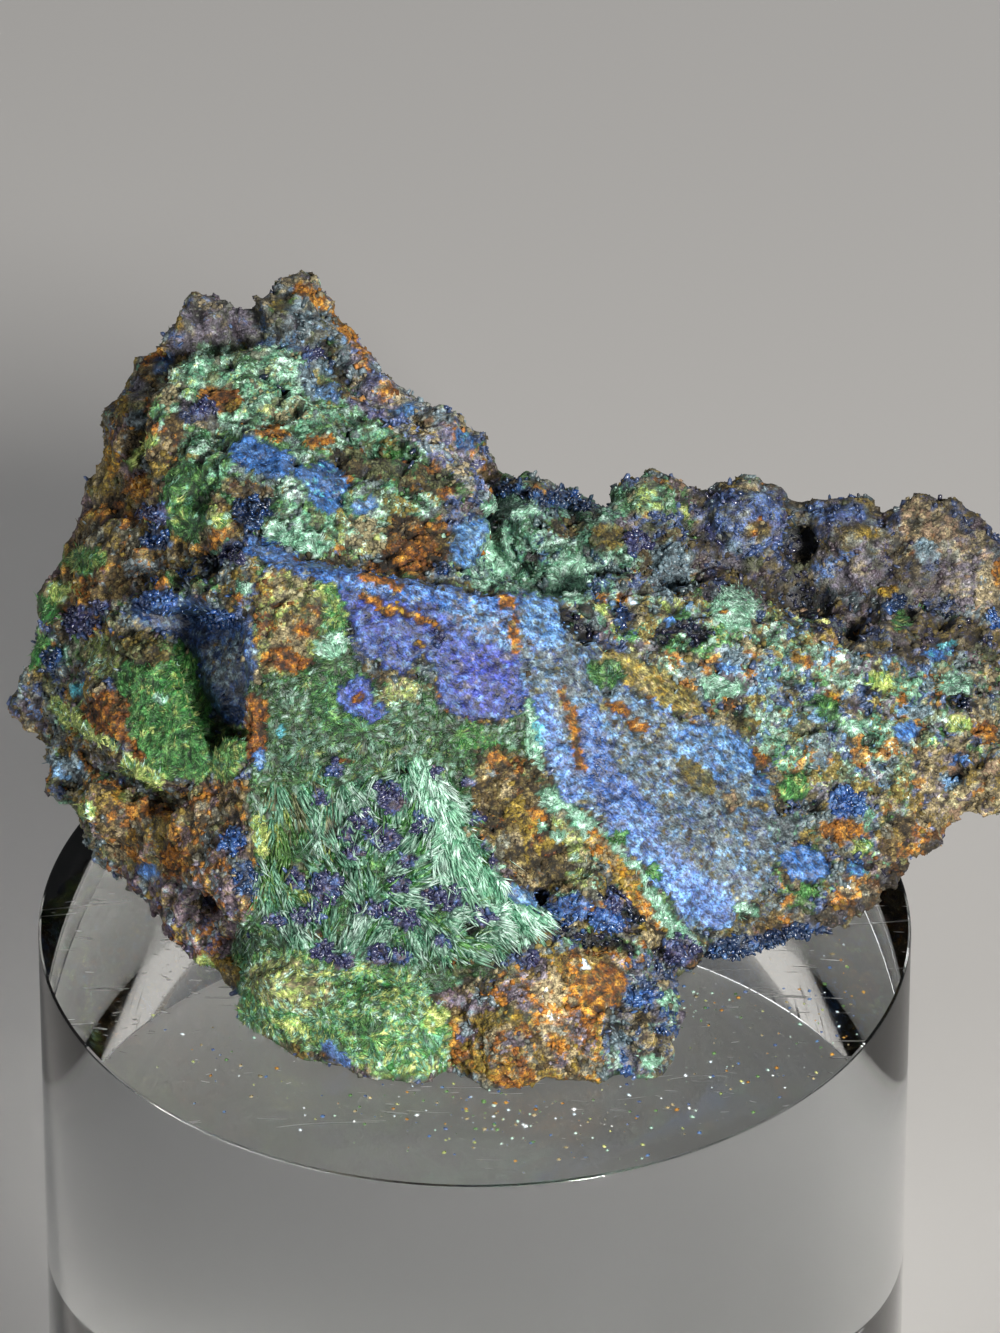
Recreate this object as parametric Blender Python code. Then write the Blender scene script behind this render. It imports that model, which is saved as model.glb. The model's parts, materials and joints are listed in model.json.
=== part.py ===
"""Azurite and malachite specimen resting on a clear acrylic display cylinder.

The specimen is one grown stone. It is modelled as broken chunks, each the convex hull of a few
corners, that are fused, hollowed where the stone has pits and clefts, and then weathered.
Frame: metres, +Z up, origin at the centre of the cylinder's foot. The photograph looks along +Y.
"""

import math

import bmesh
import bpy
from mathutils import Matrix, Vector, noise

MM = 0.001

# Display cylinder, in millimetres.
STAND_DIAMETER = 76.0
STAND_HEIGHT = 60.0
STAND_EDGE_RADIUS = 0.4
STAND_SIDES = 72
STAND_EDGE_STEPS = 2
STAND_SHARP_ANGLE = 40.0
STAND_MERGE = 0.001      # corners of the turned profile closer than this are one

# Specimen, in millimetres.
REST_GAP = 0.35          # air left between the two solids where the stone stands on the cylinder
VOXEL = 0.7              # grain of the fused stone
STONE_TRIANGLES = 9000
KNOB_CORNERS, KNOB_UNEVENNESS = 26, 0.3
HOLLOW_SUBDIVISIONS = 2
LUMP_SIZE, LUMP_DEPTH = 11.0, 1.1
LUMP_ROUGHNESS, LUMP_LACUNARITY, LUMP_OCTAVES = 1.0, 2.0, 3
LEDGE_STEP, LEDGE_DEPTH = 3.6, 0.45
LEDGE_SWAY, LEDGE_SWAY_SIZE = 1.4, 5.5
LEDGE_ACROSS = (0.30, 0.25, 0.92)
BROKEN_FACE_RELIEF = 0.22  # share of the relief that is left on the flat broken faces
BROKEN_FACE_CORE = 0.6     # share of a broken face's reach over which it stays flat

# Flat facets in which the weathered skin has broken: cell size, height and tilt.
FACETS = ((7.5, 0.5, 1.2), (3.6, 0.3, 0.7))
FACET_TILT_SEED, FACET_HEIGHT_SEED = 31.7, 17.3

# Corners of each chunk, in millimetres from the centre of the cylinder's top:
# x to the right, y away from the photograph's viewpoint, z up.
CHUNKS = {
    "core": [
        (-25, 0, 0), (-20, -11, 0), (-8, -17, 0), (13, -15, 0), (20, -6, 0), (27, 10, 1),
        (20, 27, 0), (-10, 33, 0), (-28, 22, 0), (-24, 5, 20), (-16, 6, 31), (4, 1, 25),
        (22, -2, 15), (32, 12, 17), (22, 24, 21), (-6, 34, 27), (-26, 30, 28),
    ],
    "front_face": [
        (-18.5, 3, 37), (-18.5, 0, 31.5), (-19.5, -4.5, 25), (-18, -10, 17), (-10, 2, 35.5),
        (6, 3.5, 31), (5, -4, 24), (-4, -8.5, 22.5), (-16, 12, 32), (4, 12, 28),
        (-4, 2, 12), (-16, 4, 12),
    ],
    "spray_wedge": [
        (-4, -8.5, 22.5), (6, -17.5, 13), (-18, -10, 17), (-19, -12.5, 11.5), (-19.5, -13.5, 3),
        (-9, -19, 3), (1, -18.5, 6), (5, -10, 0), (0, -4, 12), (-16, 0, 8), (-14, -14, 0),
    ],
    "green_foot": [
        (-20, -13.5, 0), (-19.5, -14.5, 5), (-17.5, -17.5, 6.5), (-8, -21, 6), (-2.5, -20.5, 5),
        (-7.5, -23.5, 0), (-3.5, -23, 0), (-15, -20.5, 0), (-9, -14, 8), (-12, -10, 0),
        (-2, -14, 0),
    ],
    "recess_floor": [
        (-1.5, -5.5, 23), (4.5, -5, 22), (10, -9.5, 16), (14.5, -12, 11.5), (11, -12.5, 12.5),
        (5.5, -13.5, 13), (2, -11.5, 16.5), (-1.5, -8, 21), (4, -2, 14), (10, -6, 8), (4, -10, 8),
    ],
    "sheet_rim": [
        (5, -4.2, 24.2), (9.5, -7.5, 20), (14, -11.2, 15.5), (18, -12.2, 10.8), (4, -6.5, 22),
        (7.5, -10.5, 17.5), (10.5, -12.8, 14.5), (15.4, -14.8, 9), (18.5, -13.5, 5), (8, -4, 16),
        (16, -8, 8),
    ],
    "azurite_sheet": [
        (6, 3.5, 31), (5, -4, 24), (14, -11, 15.5), (21.5, -12.5, 6.5), (6, -4, 18),
        (11, -8.5, 12.5), (18.5, -11.5, 4), (32.5, -10.5, 8), (37, -5.5, 9.5), (11, 1, 25),
        (20, 3, 21.5), (30, -2, 15), (12, 10, 26), (20, 8, 3), (8, 8, 8),
    ],
    "right_arm": [
        (32.5, -10.5, 8), (37, -5.5, 9.5), (45.5, 1, 12), (49, 8, 15), (48.5, 14, 18.5),
        (46, 20, 20.5), (40, 24, 21), (33, 26, 21), (20, 3, 21.5), (11, 1, 25), (12, 14, 25),
        (22, -3, 5), (44, 18, 9), (36, 25, 7), (24, 24, 3), (28, 0, 3), (30, 11, 21.5),
    ],
    "crest_over_sheet": [
        (6, 5, 31), (10, 12, 29.5), (16, 13.5, 27), (24, 12, 24.2), (31, 9.5, 22.4), (37, 9.5, 21.5),
        (9, 2, 27), (20, 4, 23), (31, 3, 18), (12, 15, 20), (28, 14, 16), (36, 13, 15),
    ],
    "back_lobes": [
        (10, 24, 27), (15.5, 26, 28), (20, 28, 27), (28, 28.5, 25.4), (36, 27.5, 25.4), (12, 18, 24),
        (26, 20, 20), (12, 34, 14), (26, 33, 12), (30, 24, 10), (8, 22, 14), (20, 32, 22),
    ],
    "tan_peak": [
        (37, 27.5, 26.5), (40, 28.5, 26.5), (43.5, 27, 25), (46.5, 23, 23), (48.5, 18, 21),
        (36, 21, 22), (40, 16, 20), (45, 12, 18), (36, 28, 16), (44, 24, 12), (46, 16, 12),
    ],
    "upper_left_block": [
        (-28, 24.5, 37.5), (-27, 26.5, 40), (-23.5, 28.5, 41), (-16, 30, 40.5), (-12, 28, 38),
        (-4, 24, 35), (0.5, 19.5, 33.5), (2, 13.5, 33), (-0.5, 8.5, 31.5), (-8, 7.5, 33.5),
        (-15, 7, 35.5), (-21, 11, 36), (-28, 16, 33.5), (-26, 13, 30), (-20, 14, 20),
        (0, 14, 20), (-10, 29, 20), (-26, 26, 22),
    ],
    "block_shelf": [
        (-14, 12, 38), (-6, 12.5, 36.5), (0, 16, 35), (-4, 21, 36.5), (-14, 22, 40), (-20, 18, 40),
        (-22, 14, 38), (-14, 16, 30), (0, 16, 28),
    ],
    "back_ridge": [
        (-27.5, 37, 34), (-25, 40, 36), (-19, 42, 36.5), (-13.5, 42.5, 36), (-10, 39, 34),
        (-7, 36.5, 31.5), (-3, 34.5, 30.5), (1.5, 29, 28.5), (-22, 32, 32), (-10, 31, 29),
        (-27, 42, 16), (-12, 45, 16), (2, 34, 14), (-24, 34, 4), (-4, 36, 4),
    ],
    "left_peak": [
        (-23.5, 40.5, 40), (-25.5, 38.5, 38), (-27.5, 36.5, 36), (-24, 35, 36), (-21.5, 37, 37),
        (-21, 41, 37.5), (-22.5, 43.5, 36.5), (-26, 40, 30), (-21, 38, 30),
    ],
    "right_peak": [
        (-19, 42.5, 39.5), (-17, 44, 39.8), (-13.5, 44.5, 38), (-11, 42, 36.5), (-10.5, 39.5, 35.5),
        (-15.5, 37, 36.5), (-18.5, 38.5, 37.5), (-20, 41, 37), (-17, 46, 34), (-12, 44, 30),
        (-18, 40, 30),
    ],
    "ridge_shoulder": [
        (-9.5, 39, 35), (-7, 37, 33.5), (-5.5, 35, 32.5), (-8.5, 32, 33.5), (-11, 35, 34.5),
        (-6, 38, 29), (-10, 34, 28),
    ],
    "ridge_tail": [
        (-4.5, 34, 32.3), (-2, 33.5, 31.8), (0, 30.5, 30), (-3, 28, 31), (-5, 30, 32), (-1, 33, 26),
        (-4, 30, 26),
    ],
    "saddle": [
        (1.5, 28, 28), (7.5, 25, 27.5), (12.5, 24, 28), (10, 12, 27.5), (3, 16, 30), (14, 10, 24),
        (0, 32, 12), (12, 30, 12), (8, 12, 14),
    ],
    "back_shoulder": [
        (-6, 37, 28), (4, 34.5, 23), (0, 40.5, 20), (-9, 43, 24), (-13, 42, 13), (2, 41, 10),
        (-4, 30, 12), (8, 33, 14), (-8, 44, 18),
    ],
    "back_foot": [
        (8, 31, 3), (19, 31, 4), (24, 27, 8), (16, 36, 9), (6, 37, 8), (12, 36, 16), (4, 28, 14),
        (19, 26, 15),
    ],
    "back_left_slab": [
        (-30, 34, 6), (-23, 41, 5), (-16, 43, 9), (-20, 46, 17), (-28, 40, 18), (-32, 31, 12),
        (-20, 32, 12), (-26, 43, 25), (-17, 44, 22),
    ],
    "left_ridge": [
        (-27, 37, 36.8), (-28.5, 36, 36), (-30.5, 34, 35), (-25, 36, 35), (-32, 32.5, 33),
        (-33.5, 30, 29.5), (-35, 28, 26.5), (-36, 26, 24.5), (-30, 26, 34), (-29, 22, 30),
        (-30, 36, 22), (-33, 28, 16), (-26, 24, 20),
    ],
    "left_flank": [
        (-34, 28, 27), (-36.5, 24.5, 23), (-37.5, 19.5, 20), (-39, 17, 15), (-39, 14, 10.5),
        (-37, 10.5, 8.5), (-35.5, 9, 7.5), (-34.5, 7, 5), (-31, 3, 1.5), (-26.5, -2.5, 0),
        (-23.5, -7.5, 0), (-25, -2, 9), (-31, 8, 13), (-35, 12, 17), (-24, 5, 18), (-29, 14, 26),
        (-26, 22, 32), (-22, 20, 6), (-33, 24, 8), (-22, 34, 12),
    ],
    "left_tip": [
        (-42, 16, 11.2), (-41.5, 14.5, 10), (-40, 17, 14), (-38, 13, 9), (-37, 13, 14),
        (-37, 19, 10), (-38, 20, 13),
    ],
    "green_shoulder": [
        (-27, 6, 25.5), (-25, 0.5, 22.5), (-22.5, -4.5, 20.5), (-27.5, -3, 17), (-32.5, 3, 17.5),
        (-36.5, 9.5, 16.5), (-33, 10, 21.5), (-30.5, 12, 24), (-36.5, 14.5, 18.5), (-24, 4, 14),
        (-28, 10, 12), (-32, 14, 14), (-22, 0, 12),
    ],
    "trench_foot": [
        (-23.5, -3.5, 20.5), (-19.5, -6.5, 23.5), (-18.5, -12.5, 17), (-19.5, -15, 10), (-24, -9.5, 11),
        (-27, -4.5, 14.5), (-21.5, -3.5, 23), (-18, -4, 14), (-20, -6, 8),
    ],
    "ledge_rim": [
        (-29.5, 12, 27), (-26.5, 9.5, 30.2), (-23, 6.5, 32), (-21, 3, 32.6), (-20, 1.5, 31.4),
        (-23, 4.5, 30.3), (-27, 8.5, 28.3), (-24, 12, 27), (-19, 7, 28), (-27, 14, 24),
    ],
    "strip_end": [
        (-21.5, 6.5, 34.5), (-19, 5, 37.2), (-18.5, 1, 33), (-21, 2.5, 32.6), (-21.8, 5, 32.4),
        (-17, 8, 33), (-18, 6, 29),
    ],
    "lower_left_lump": [
        (-34, 4, 9), (-30, 0, 13), (-25.5, -5, 14), (-22, -9, 12), (-23, -9.5, 5), (-28, -3.5, 4),
        (-32, 2, 4), (-24, 2, 6), (-28, 6, 10),
    ],
    "limonite_lobe": [
        (-2.5, -21.5, 0), (4, -25.5, 0), (11.5, -24, 0), (7.5, -18, 9.8), (1, -19.5, 8),
        (13, -16.5, 8), (12, -21.5, 5), (3, -24.5, 4), (-2.5, -20.5, 4.5), (5, -15, 11.5),
        (12, -14.5, 9.5), (0, -12, 0), (14, -12, 0),
    ],
    "right_lobe": [
        (13.5, -22.6, 0), (16.5, -22.6, 0), (18.5, -18, 1.5), (18, -13, 1.5), (15, -15.5, 7.5),
        (17.8, -19, 5.2), (12, -15, 0), (14.5, -21.8, 4),
    ],
}

# Round crystal knobs and lobes: centre and radius.
KNOBS = {
    "knob_in_cleft": ((8.8, -14.5, 12.5), 2.4),
    "knob_beside_cleft": ((11.8, -13.8, 11.0), 2.0),
    "knob_at_sheet_foot": ((17.2, -13.6, 6.8), 2.5),
    "knob_low_in_cleft": ((13.4, -15.6, 8.6), 1.6),
    "azurite_lobe": ((23.3, 25.5, 23.4), 5.1),
    "pale_lobe": ((15.8, 26.0, 25.0), 3.9),
    "ochre_lobe": ((32.4, 24.8, 22.0), 4.6),
    "small_lobe": ((8.0, 26.0, 24.8), 2.6),
    "lobe_on_saddle": ((11.0, 17.5, 27.6), 3.2),
    "mint_knob": ((5.6, 14.0, 30.4), 2.8),
    "green_knob_left": ((-34.2, 24.2, 22.2), 2.6),
    "flank_knob_upper": ((-36.6, 21.4, 18.7), 1.9),
    "flank_knob_lower": ((-37.4, 18.2, 16.0), 1.9),
    "flank_knob_low": ((-36.0, 8.6, 9.0), 2.0),
    "knob_under_lime_crest": ((-31.0, 0.6, 11.6), 2.2),
    "knob_on_arm": ((41.5, 7.5, 18.6), 2.6),
    "knob_at_arm_edge": ((44.5, 2.0, 13.6), 2.6),
}

# Hollows cut into the fused chunks: centre, half-sizes, and tilt about X, Y and Z in degrees.
HOLLOWS = {
    "cleft_under_sheet": ((14.2, -13.8, 7.2), (8.5, 1.0, 2.4), (0, 38, -20)),
    "recess_beside_sprays": ((4.5, -11.0, 20.5), (4.6, 2.0, 2.4), (0, 42, -22)),
    "trench_by_left_face": ((-23.6, 2.6, 23.8), (1.1, 5.6, 3.4), (38, 0, 34)),
    "crack_over_ledge": ((-23.4, 8.6, 32.4), (5.4, 1.5, 1.3), (0, -12, -38)),
    "undercut_over_strip": ((-14.0, 6.8, 36.4), (6.2, 1.7, 1.4), (0, 9, -4)),
    "groove_in_block": ((-7.5, 19.0, 36.8), (4.8, 1.6, 1.5), (0, 14, -22)),
    "groove_low_in_block": ((-13.5, 15.0, 38.2), (3.6, 1.3, 1.4), (0, 6, 12)),
    "pocket_in_saddle": ((9.0, 8.6, 27.6), (1.9, 2.6, 2.6), (0, 0, 10)),
    "pit_in_saddle": ((13.4, 9.4, 26.8), (1.6, 1.8, 2.2), (0, 0, 20)),
    "deep_pocket_on_crest": ((18.0, 9.0, 25.0), (3.6, 2.5, 2.8), (10, 12, -15)),
    "small_pit_on_crest": ((17.2, 13.0, 27.0), (1.7, 1.7, 1.8), (0, 0, 0)),
    "valley_in_right_arm": ((29.6, 17.8, 23.8), (7.4, 5.2, 4.0), (10, 8, -8)),
    "cleft_between_lobes": ((28.4, 23.2, 23.6), (1.0, 3.2, 3.6), (0, 0, -8)),
    "pit_at_right_tip": ((42.3, 5.2, 19.4), (2.4, 1.4, 2.2), (0, 0, 30)),
    "slot_at_right_tip": ((41.0, 15.6, 21.4), (0.9, 1.4, 1.6), (0, 0, 0)),
    "valley_behind_block": ((-16.5, 33.2, 38.4), (9.5, 2.7, 4.8), (0, 9, 8)),
    "valley_end": ((-9.5, 30.4, 35.4), (4.6, 2.2, 2.8), (0, 24, -16)),
    "hollow_in_block": ((-22.5, 19.5, 38.0), (2.2, 1.7, 2.0), (0, 20, 0)),
    "hollow_low_in_block": ((-24.0, 14.5, 34.8), (2.6, 1.5, 2.2), (20, 0, -40)),
    "hollow_beside_block": ((-30.0, 21.5, 31.6), (1.4, 4.6, 2.2), (15, 0, 24)),
    "pit_left_of_flank": ((-35.5, 18.0, 21.0), (1.4, 2.4, 1.8), (0, 0, 20)),
    "hollow_behind": ((-14.0, 46.0, 26.0), (6.0, 3.6, 5.0), (0, 0, 0)),
    "hollow_behind_low": ((4.0, 38.0, 12.0), (5.0, 4.0, 6.0), (0, 0, 0)),
    "step_over_green_foot": ((-6.4, -21.6, 7.4), (7.0, 1.5, 1.2), (0, 6, -14)),
    "hole_in_sprays": ((-0.4, -18.2, 11.4), (1.1, 1.1, 1.0), (0, 0, 0)),
    "notch_beside_green_foot": ((-2.8, -23.8, 0.9), (0.8, 1.2, 1.2), (0, 0, 0)),
    "undercut_at_lime_crest": ((-30.6, -0.8, 14.4), (4.4, 0.9, 1.1), (0, 0, -42)),
}

# Flat broken faces that weather little: centre and reach.
BROKEN_FACES = {
    "malachite_face": ((-7, -4, 26), 13),
    "azurite_sheet": ((14, -4, 20), 11),
    "lower_azurite_sheet": ((24, -6, 13), 9),
    "spray_face": ((-7, -15, 12), 9),
    "navy_face": ((-22.5, 3, 27), 6),
    "azurite_lobe": ((23.5, 26, 24.5), 7),
    "ochre_lobe": ((32, 25, 23), 6),
}


def clear_scene():
    for old in list(bpy.data.objects):
        bpy.data.objects.remove(old)


def material(name, colour, roughness, metallic=0.0, alpha=1.0):
    made = bpy.data.materials.new(name)
    made.use_nodes = True
    shader = made.node_tree.nodes["Principled BSDF"]
    shader.inputs["Base Color"].default_value = (*colour, 1.0)
    shader.inputs["Roughness"].default_value = roughness
    shader.inputs["Metallic"].default_value = metallic
    shader.inputs["Alpha"].default_value = alpha
    return made


def object_from(bm, name):
    mesh = bpy.data.meshes.new(name)
    bm.to_mesh(mesh)
    bm.free()
    made = bpy.data.objects.new(name, mesh)
    bpy.context.scene.collection.objects.link(made)
    return made


def add_hull(bm, corners):
    """Adds the convex hull of the corners, in millimetres from the cylinder's top, to bm."""
    lift = Vector((0, 0, STAND_HEIGHT))
    verts = [bm.verts.new((Vector(corner) + lift) * MM) for corner in corners]
    hull = bmesh.ops.convex_hull(bm, input=verts)
    inside = set(hull["geom_interior"]) | set(hull["geom_unused"])
    bmesh.ops.delete(bm, geom=[v for v in inside if isinstance(v, bmesh.types.BMVert)], context="VERTS")


def knob_corners(centre, radius):
    """Corners spread evenly over a ball, pushed in and out so that the knob is faceted."""
    golden = math.pi * (3 - math.sqrt(5))
    corners = []
    for i in range(KNOB_CORNERS):
        z = 1 - 2 * (i + 0.5) / KNOB_CORNERS
        ring = math.sqrt(1 - z * z)
        way = Vector((ring * math.cos(golden * i), ring * math.sin(golden * i), z))
        swell = 1 + KNOB_UNEVENNESS * noise.noise(way * 2 + Vector(centre))
        corners.append(Vector(centre) + way * radius * swell)
    return corners


def chunks_object():
    bm = bmesh.new()
    for corners in CHUNKS.values():
        add_hull(bm, corners)
    for centre, radius in KNOBS.values():
        add_hull(bm, knob_corners(centre, radius))
    bmesh.ops.recalc_face_normals(bm, faces=bm.faces)
    return object_from(bm, "specimen")


def hollows_object():
    bm = bmesh.new()
    for centre, half, tilt in HOLLOWS.values():
        place = Matrix.Translation((Vector(centre) + Vector((0, 0, STAND_HEIGHT))) * MM)
        for axis, angle in zip("ZYX", reversed(tilt)):
            place = place @ Matrix.Rotation(math.radians(angle), 4, axis)
        place = place @ Matrix.Diagonal((*(h * MM for h in half), 1))
        bmesh.ops.create_icosphere(bm, subdivisions=HOLLOW_SUBDIVISIONS, radius=1.0, matrix=place)
    made = object_from(bm, "hollows")
    fuse(made, VOXEL)
    made.hide_render = True
    made.display_type = "WIRE"
    return made


def apply_modifiers(obj):
    graph = bpy.context.evaluated_depsgraph_get()
    mesh = bpy.data.meshes.new_from_object(obj.evaluated_get(graph))
    obj.modifiers.clear()
    obj.data = mesh


def fuse(obj, voxel):
    """Joins the overlapping bodies of obj into one skin."""
    remesh = obj.modifiers.new("fuse", "REMESH")
    remesh.mode = "VOXEL"
    remesh.voxel_size = voxel * MM
    apply_modifiers(obj)


def hollow_out(obj, cutter):
    cut = obj.modifiers.new("hollows", "BOOLEAN")
    cut.operation = "DIFFERENCE"
    cut.solver = "EXACT"
    cut.object = cutter
    apply_modifiers(obj)


def share_of_relief(point):
    """1 on the weathered skin, down to BROKEN_FACE_RELIEF on a flat broken face."""
    share = 1.0
    for centre, reach in BROKEN_FACES.values():
        near = (point - Vector(centre)).length / reach
        grown = (near - BROKEN_FACE_CORE) / (1 - BROKEN_FACE_CORE)
        share = min(share, max(BROKEN_FACE_RELIEF, grown))
    return share


def facet_height(point, size, height, tilt):
    """Height of the flat, tilted facet that the point lies in, one facet to each cell of the given size."""
    middle = noise.voronoi(point / size)[1][0]
    lean = noise.cell_vector(middle * FACET_TILT_SEED) - Vector((0.5, 0.5, 0.5))
    step = noise.cell(middle * FACET_HEIGHT_SEED)
    return height * step + tilt * lean.dot(point / size - middle)


def relief(point):
    """Height of the weathered skin over the chunks at a point in millimetres from the cylinder's top."""
    height = noise.fractal(point / LUMP_SIZE, LUMP_ROUGHNESS, LUMP_LACUNARITY, LUMP_OCTAVES) * LUMP_DEPTH
    for facet in FACETS:
        height += facet_height(point, *facet)
    across = point.dot(Vector(LEDGE_ACROSS)) + LEDGE_SWAY * noise.noise(point / LEDGE_SWAY_SIZE)
    return height + ((across / LEDGE_STEP) % 1.0 - 0.5) * LEDGE_DEPTH


def weather(obj):
    mesh = obj.data
    lift = Vector((0, 0, STAND_HEIGHT))
    heights = []
    for v in mesh.vertices:
        point = v.co / MM - lift
        heights.append(relief(point) * share_of_relief(point) * MM)
    normals = [v.normal.copy() for v in mesh.vertices]
    for v, normal, height in zip(mesh.vertices, normals, heights):
        v.co += normal * height


def stand_flat(obj):
    """Flattens what would reach into the cylinder, so that the stone rests on broken flats."""
    lowest = (STAND_HEIGHT + REST_GAP) * MM
    for v in obj.data.vertices:
        v.co.z = max(v.co.z, lowest)


def thin_out(obj, triangles):
    mesh = obj.data
    mesh.calc_loop_triangles()
    thin = obj.modifiers.new("thin", "DECIMATE")
    thin.ratio = triangles / len(mesh.loop_triangles)
    thin.use_collapse_triangulate = True
    apply_modifiers(obj)


def make_specimen():
    stone = chunks_object()
    fuse(stone, VOXEL)
    hollow_out(stone, hollows_object())
    weather(stone)
    fuse(stone, VOXEL)
    stand_flat(stone)
    thin_out(stone, STONE_TRIANGLES)
    stand_flat(stone)
    stone.data.materials.append(material("azurite_malachite_stone", (0.13, 0.22, 0.30), 0.7))
    return stone


def make_stand():
    """A turned cylinder with a small round on both rims."""
    radius, height, edge = STAND_DIAMETER / 2, STAND_HEIGHT, STAND_EDGE_RADIUS
    profile = [(0, 0)]
    for middle, start in ((edge, -90), (height - edge, 0)):
        for i in range(STAND_EDGE_STEPS + 1):
            angle = math.radians(start + 90 * i / STAND_EDGE_STEPS)
            profile.append((radius - edge + edge * math.cos(angle), middle + edge * math.sin(angle)))
    profile.append((0, height))
    bm = bmesh.new()
    verts = [bm.verts.new((x * MM, 0, z * MM)) for x, z in profile]
    edges = [bm.edges.new(pair) for pair in zip(verts, verts[1:])]
    bmesh.ops.spin(
        bm, geom=verts + edges, cent=(0, 0, 0), axis=(0, 0, 1), angle=math.tau, steps=STAND_SIDES,
        use_merge=True,
    )
    bmesh.ops.remove_doubles(bm, verts=bm.verts, dist=STAND_MERGE * MM)
    bmesh.ops.recalc_face_normals(bm, faces=bm.faces)
    stand = object_from(bm, "acrylic_cylinder")
    stand.data.shade_smooth()
    stand.data.set_sharp_from_angle(angle=math.radians(STAND_SHARP_ANGLE))
    stand.data.materials.append(material("clear_acrylic", (0.93, 0.95, 0.95), 0.06, alpha=0.35))
    return stand


clear_scene()
make_stand()
make_specimen()
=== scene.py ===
"""Azurite and malachite specimen on a clear cylinder: its looks, its stage and the camera."""

import itertools
import json
import math

import bmesh
import bpy
import numpy as np
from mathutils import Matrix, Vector
from mathutils.bvhtree import BVHTree

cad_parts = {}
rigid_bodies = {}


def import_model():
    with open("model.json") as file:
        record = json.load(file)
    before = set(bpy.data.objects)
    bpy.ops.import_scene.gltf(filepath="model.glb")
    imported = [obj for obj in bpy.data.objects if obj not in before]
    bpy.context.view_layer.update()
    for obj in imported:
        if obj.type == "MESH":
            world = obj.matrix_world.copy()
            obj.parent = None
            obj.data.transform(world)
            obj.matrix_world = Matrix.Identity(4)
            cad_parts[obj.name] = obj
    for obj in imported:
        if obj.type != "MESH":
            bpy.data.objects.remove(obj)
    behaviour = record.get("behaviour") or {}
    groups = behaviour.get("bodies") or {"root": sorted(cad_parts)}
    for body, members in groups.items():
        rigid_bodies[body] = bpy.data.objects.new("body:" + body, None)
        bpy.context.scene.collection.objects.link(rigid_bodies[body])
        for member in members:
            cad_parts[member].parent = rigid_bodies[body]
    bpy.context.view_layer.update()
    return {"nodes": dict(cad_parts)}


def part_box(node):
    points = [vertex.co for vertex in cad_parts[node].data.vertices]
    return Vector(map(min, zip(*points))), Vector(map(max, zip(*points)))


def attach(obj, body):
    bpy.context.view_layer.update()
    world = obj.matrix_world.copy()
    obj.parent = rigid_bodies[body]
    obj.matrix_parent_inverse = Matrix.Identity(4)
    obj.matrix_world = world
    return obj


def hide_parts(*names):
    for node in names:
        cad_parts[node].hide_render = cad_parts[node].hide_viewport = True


bl_info = {
    "name": "Azurite specimen",
    "version": (1, 0, 0),
    "blender": (4, 5, 0),
    "location": "View3D > Sidebar > Azurite",
    "description": "Surfaces of an azurite and malachite stone on a clear round stand",
    "category": "Object",
}

MM = 0.001

# Camera and photograph

PHOTO_SIZE = (1000, 1333)
FOCAL_PIXELS = 11485.0
VIEW_ELEVATION = math.radians(34.6)
VIEW_DISTANCE = 1.0
STAND_TOP_PIXEL = (474.7, 922.5)
SENSOR_WIDTH = 36.0

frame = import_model()
STAND_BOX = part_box("acrylic_cylinder")
STONE_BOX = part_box("specimen")
STAND_RADIUS = (STAND_BOX[1][0] - STAND_BOX[0][0]) / 2
STAND_HEIGHT = STAND_BOX[1][2]

VIEW_DIRECTION = np.array((0.0, math.cos(VIEW_ELEVATION), -math.sin(VIEW_ELEVATION)))
VIEW_RIGHT = np.array((1.0, 0.0, 0.0))
VIEW_UP = np.array((0.0, math.sin(VIEW_ELEVATION), math.cos(VIEW_ELEVATION)))
STAND_TOP = np.array((0.0, 0.0, STAND_HEIGHT))
CAMERA_POINT = (
    STAND_TOP
    - VIEW_DISTANCE * VIEW_DIRECTION
    - (STAND_TOP_PIXEL[0] - PHOTO_SIZE[0] / 2) / FOCAL_PIXELS * VIEW_DISTANCE * VIEW_RIGHT
    + (STAND_TOP_PIXEL[1] - PHOTO_SIZE[1] / 2) / FOCAL_PIXELS * VIEW_DISTANCE * VIEW_UP
)


def photo_pixels(points):
    """Pixel column and row at which each point in metres stands in the photograph."""
    away = points - CAMERA_POINT
    depth = away @ VIEW_DIRECTION
    column = PHOTO_SIZE[0] / 2 + FOCAL_PIXELS * (away @ VIEW_RIGHT) / depth
    row = PHOTO_SIZE[1] / 2 - FOCAL_PIXELS * (away @ VIEW_UP) / depth
    return np.stack([column, row], axis=1)

# Minerals: the darkest, the usual and the lightest sRGB tone of each, and its roughness

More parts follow.
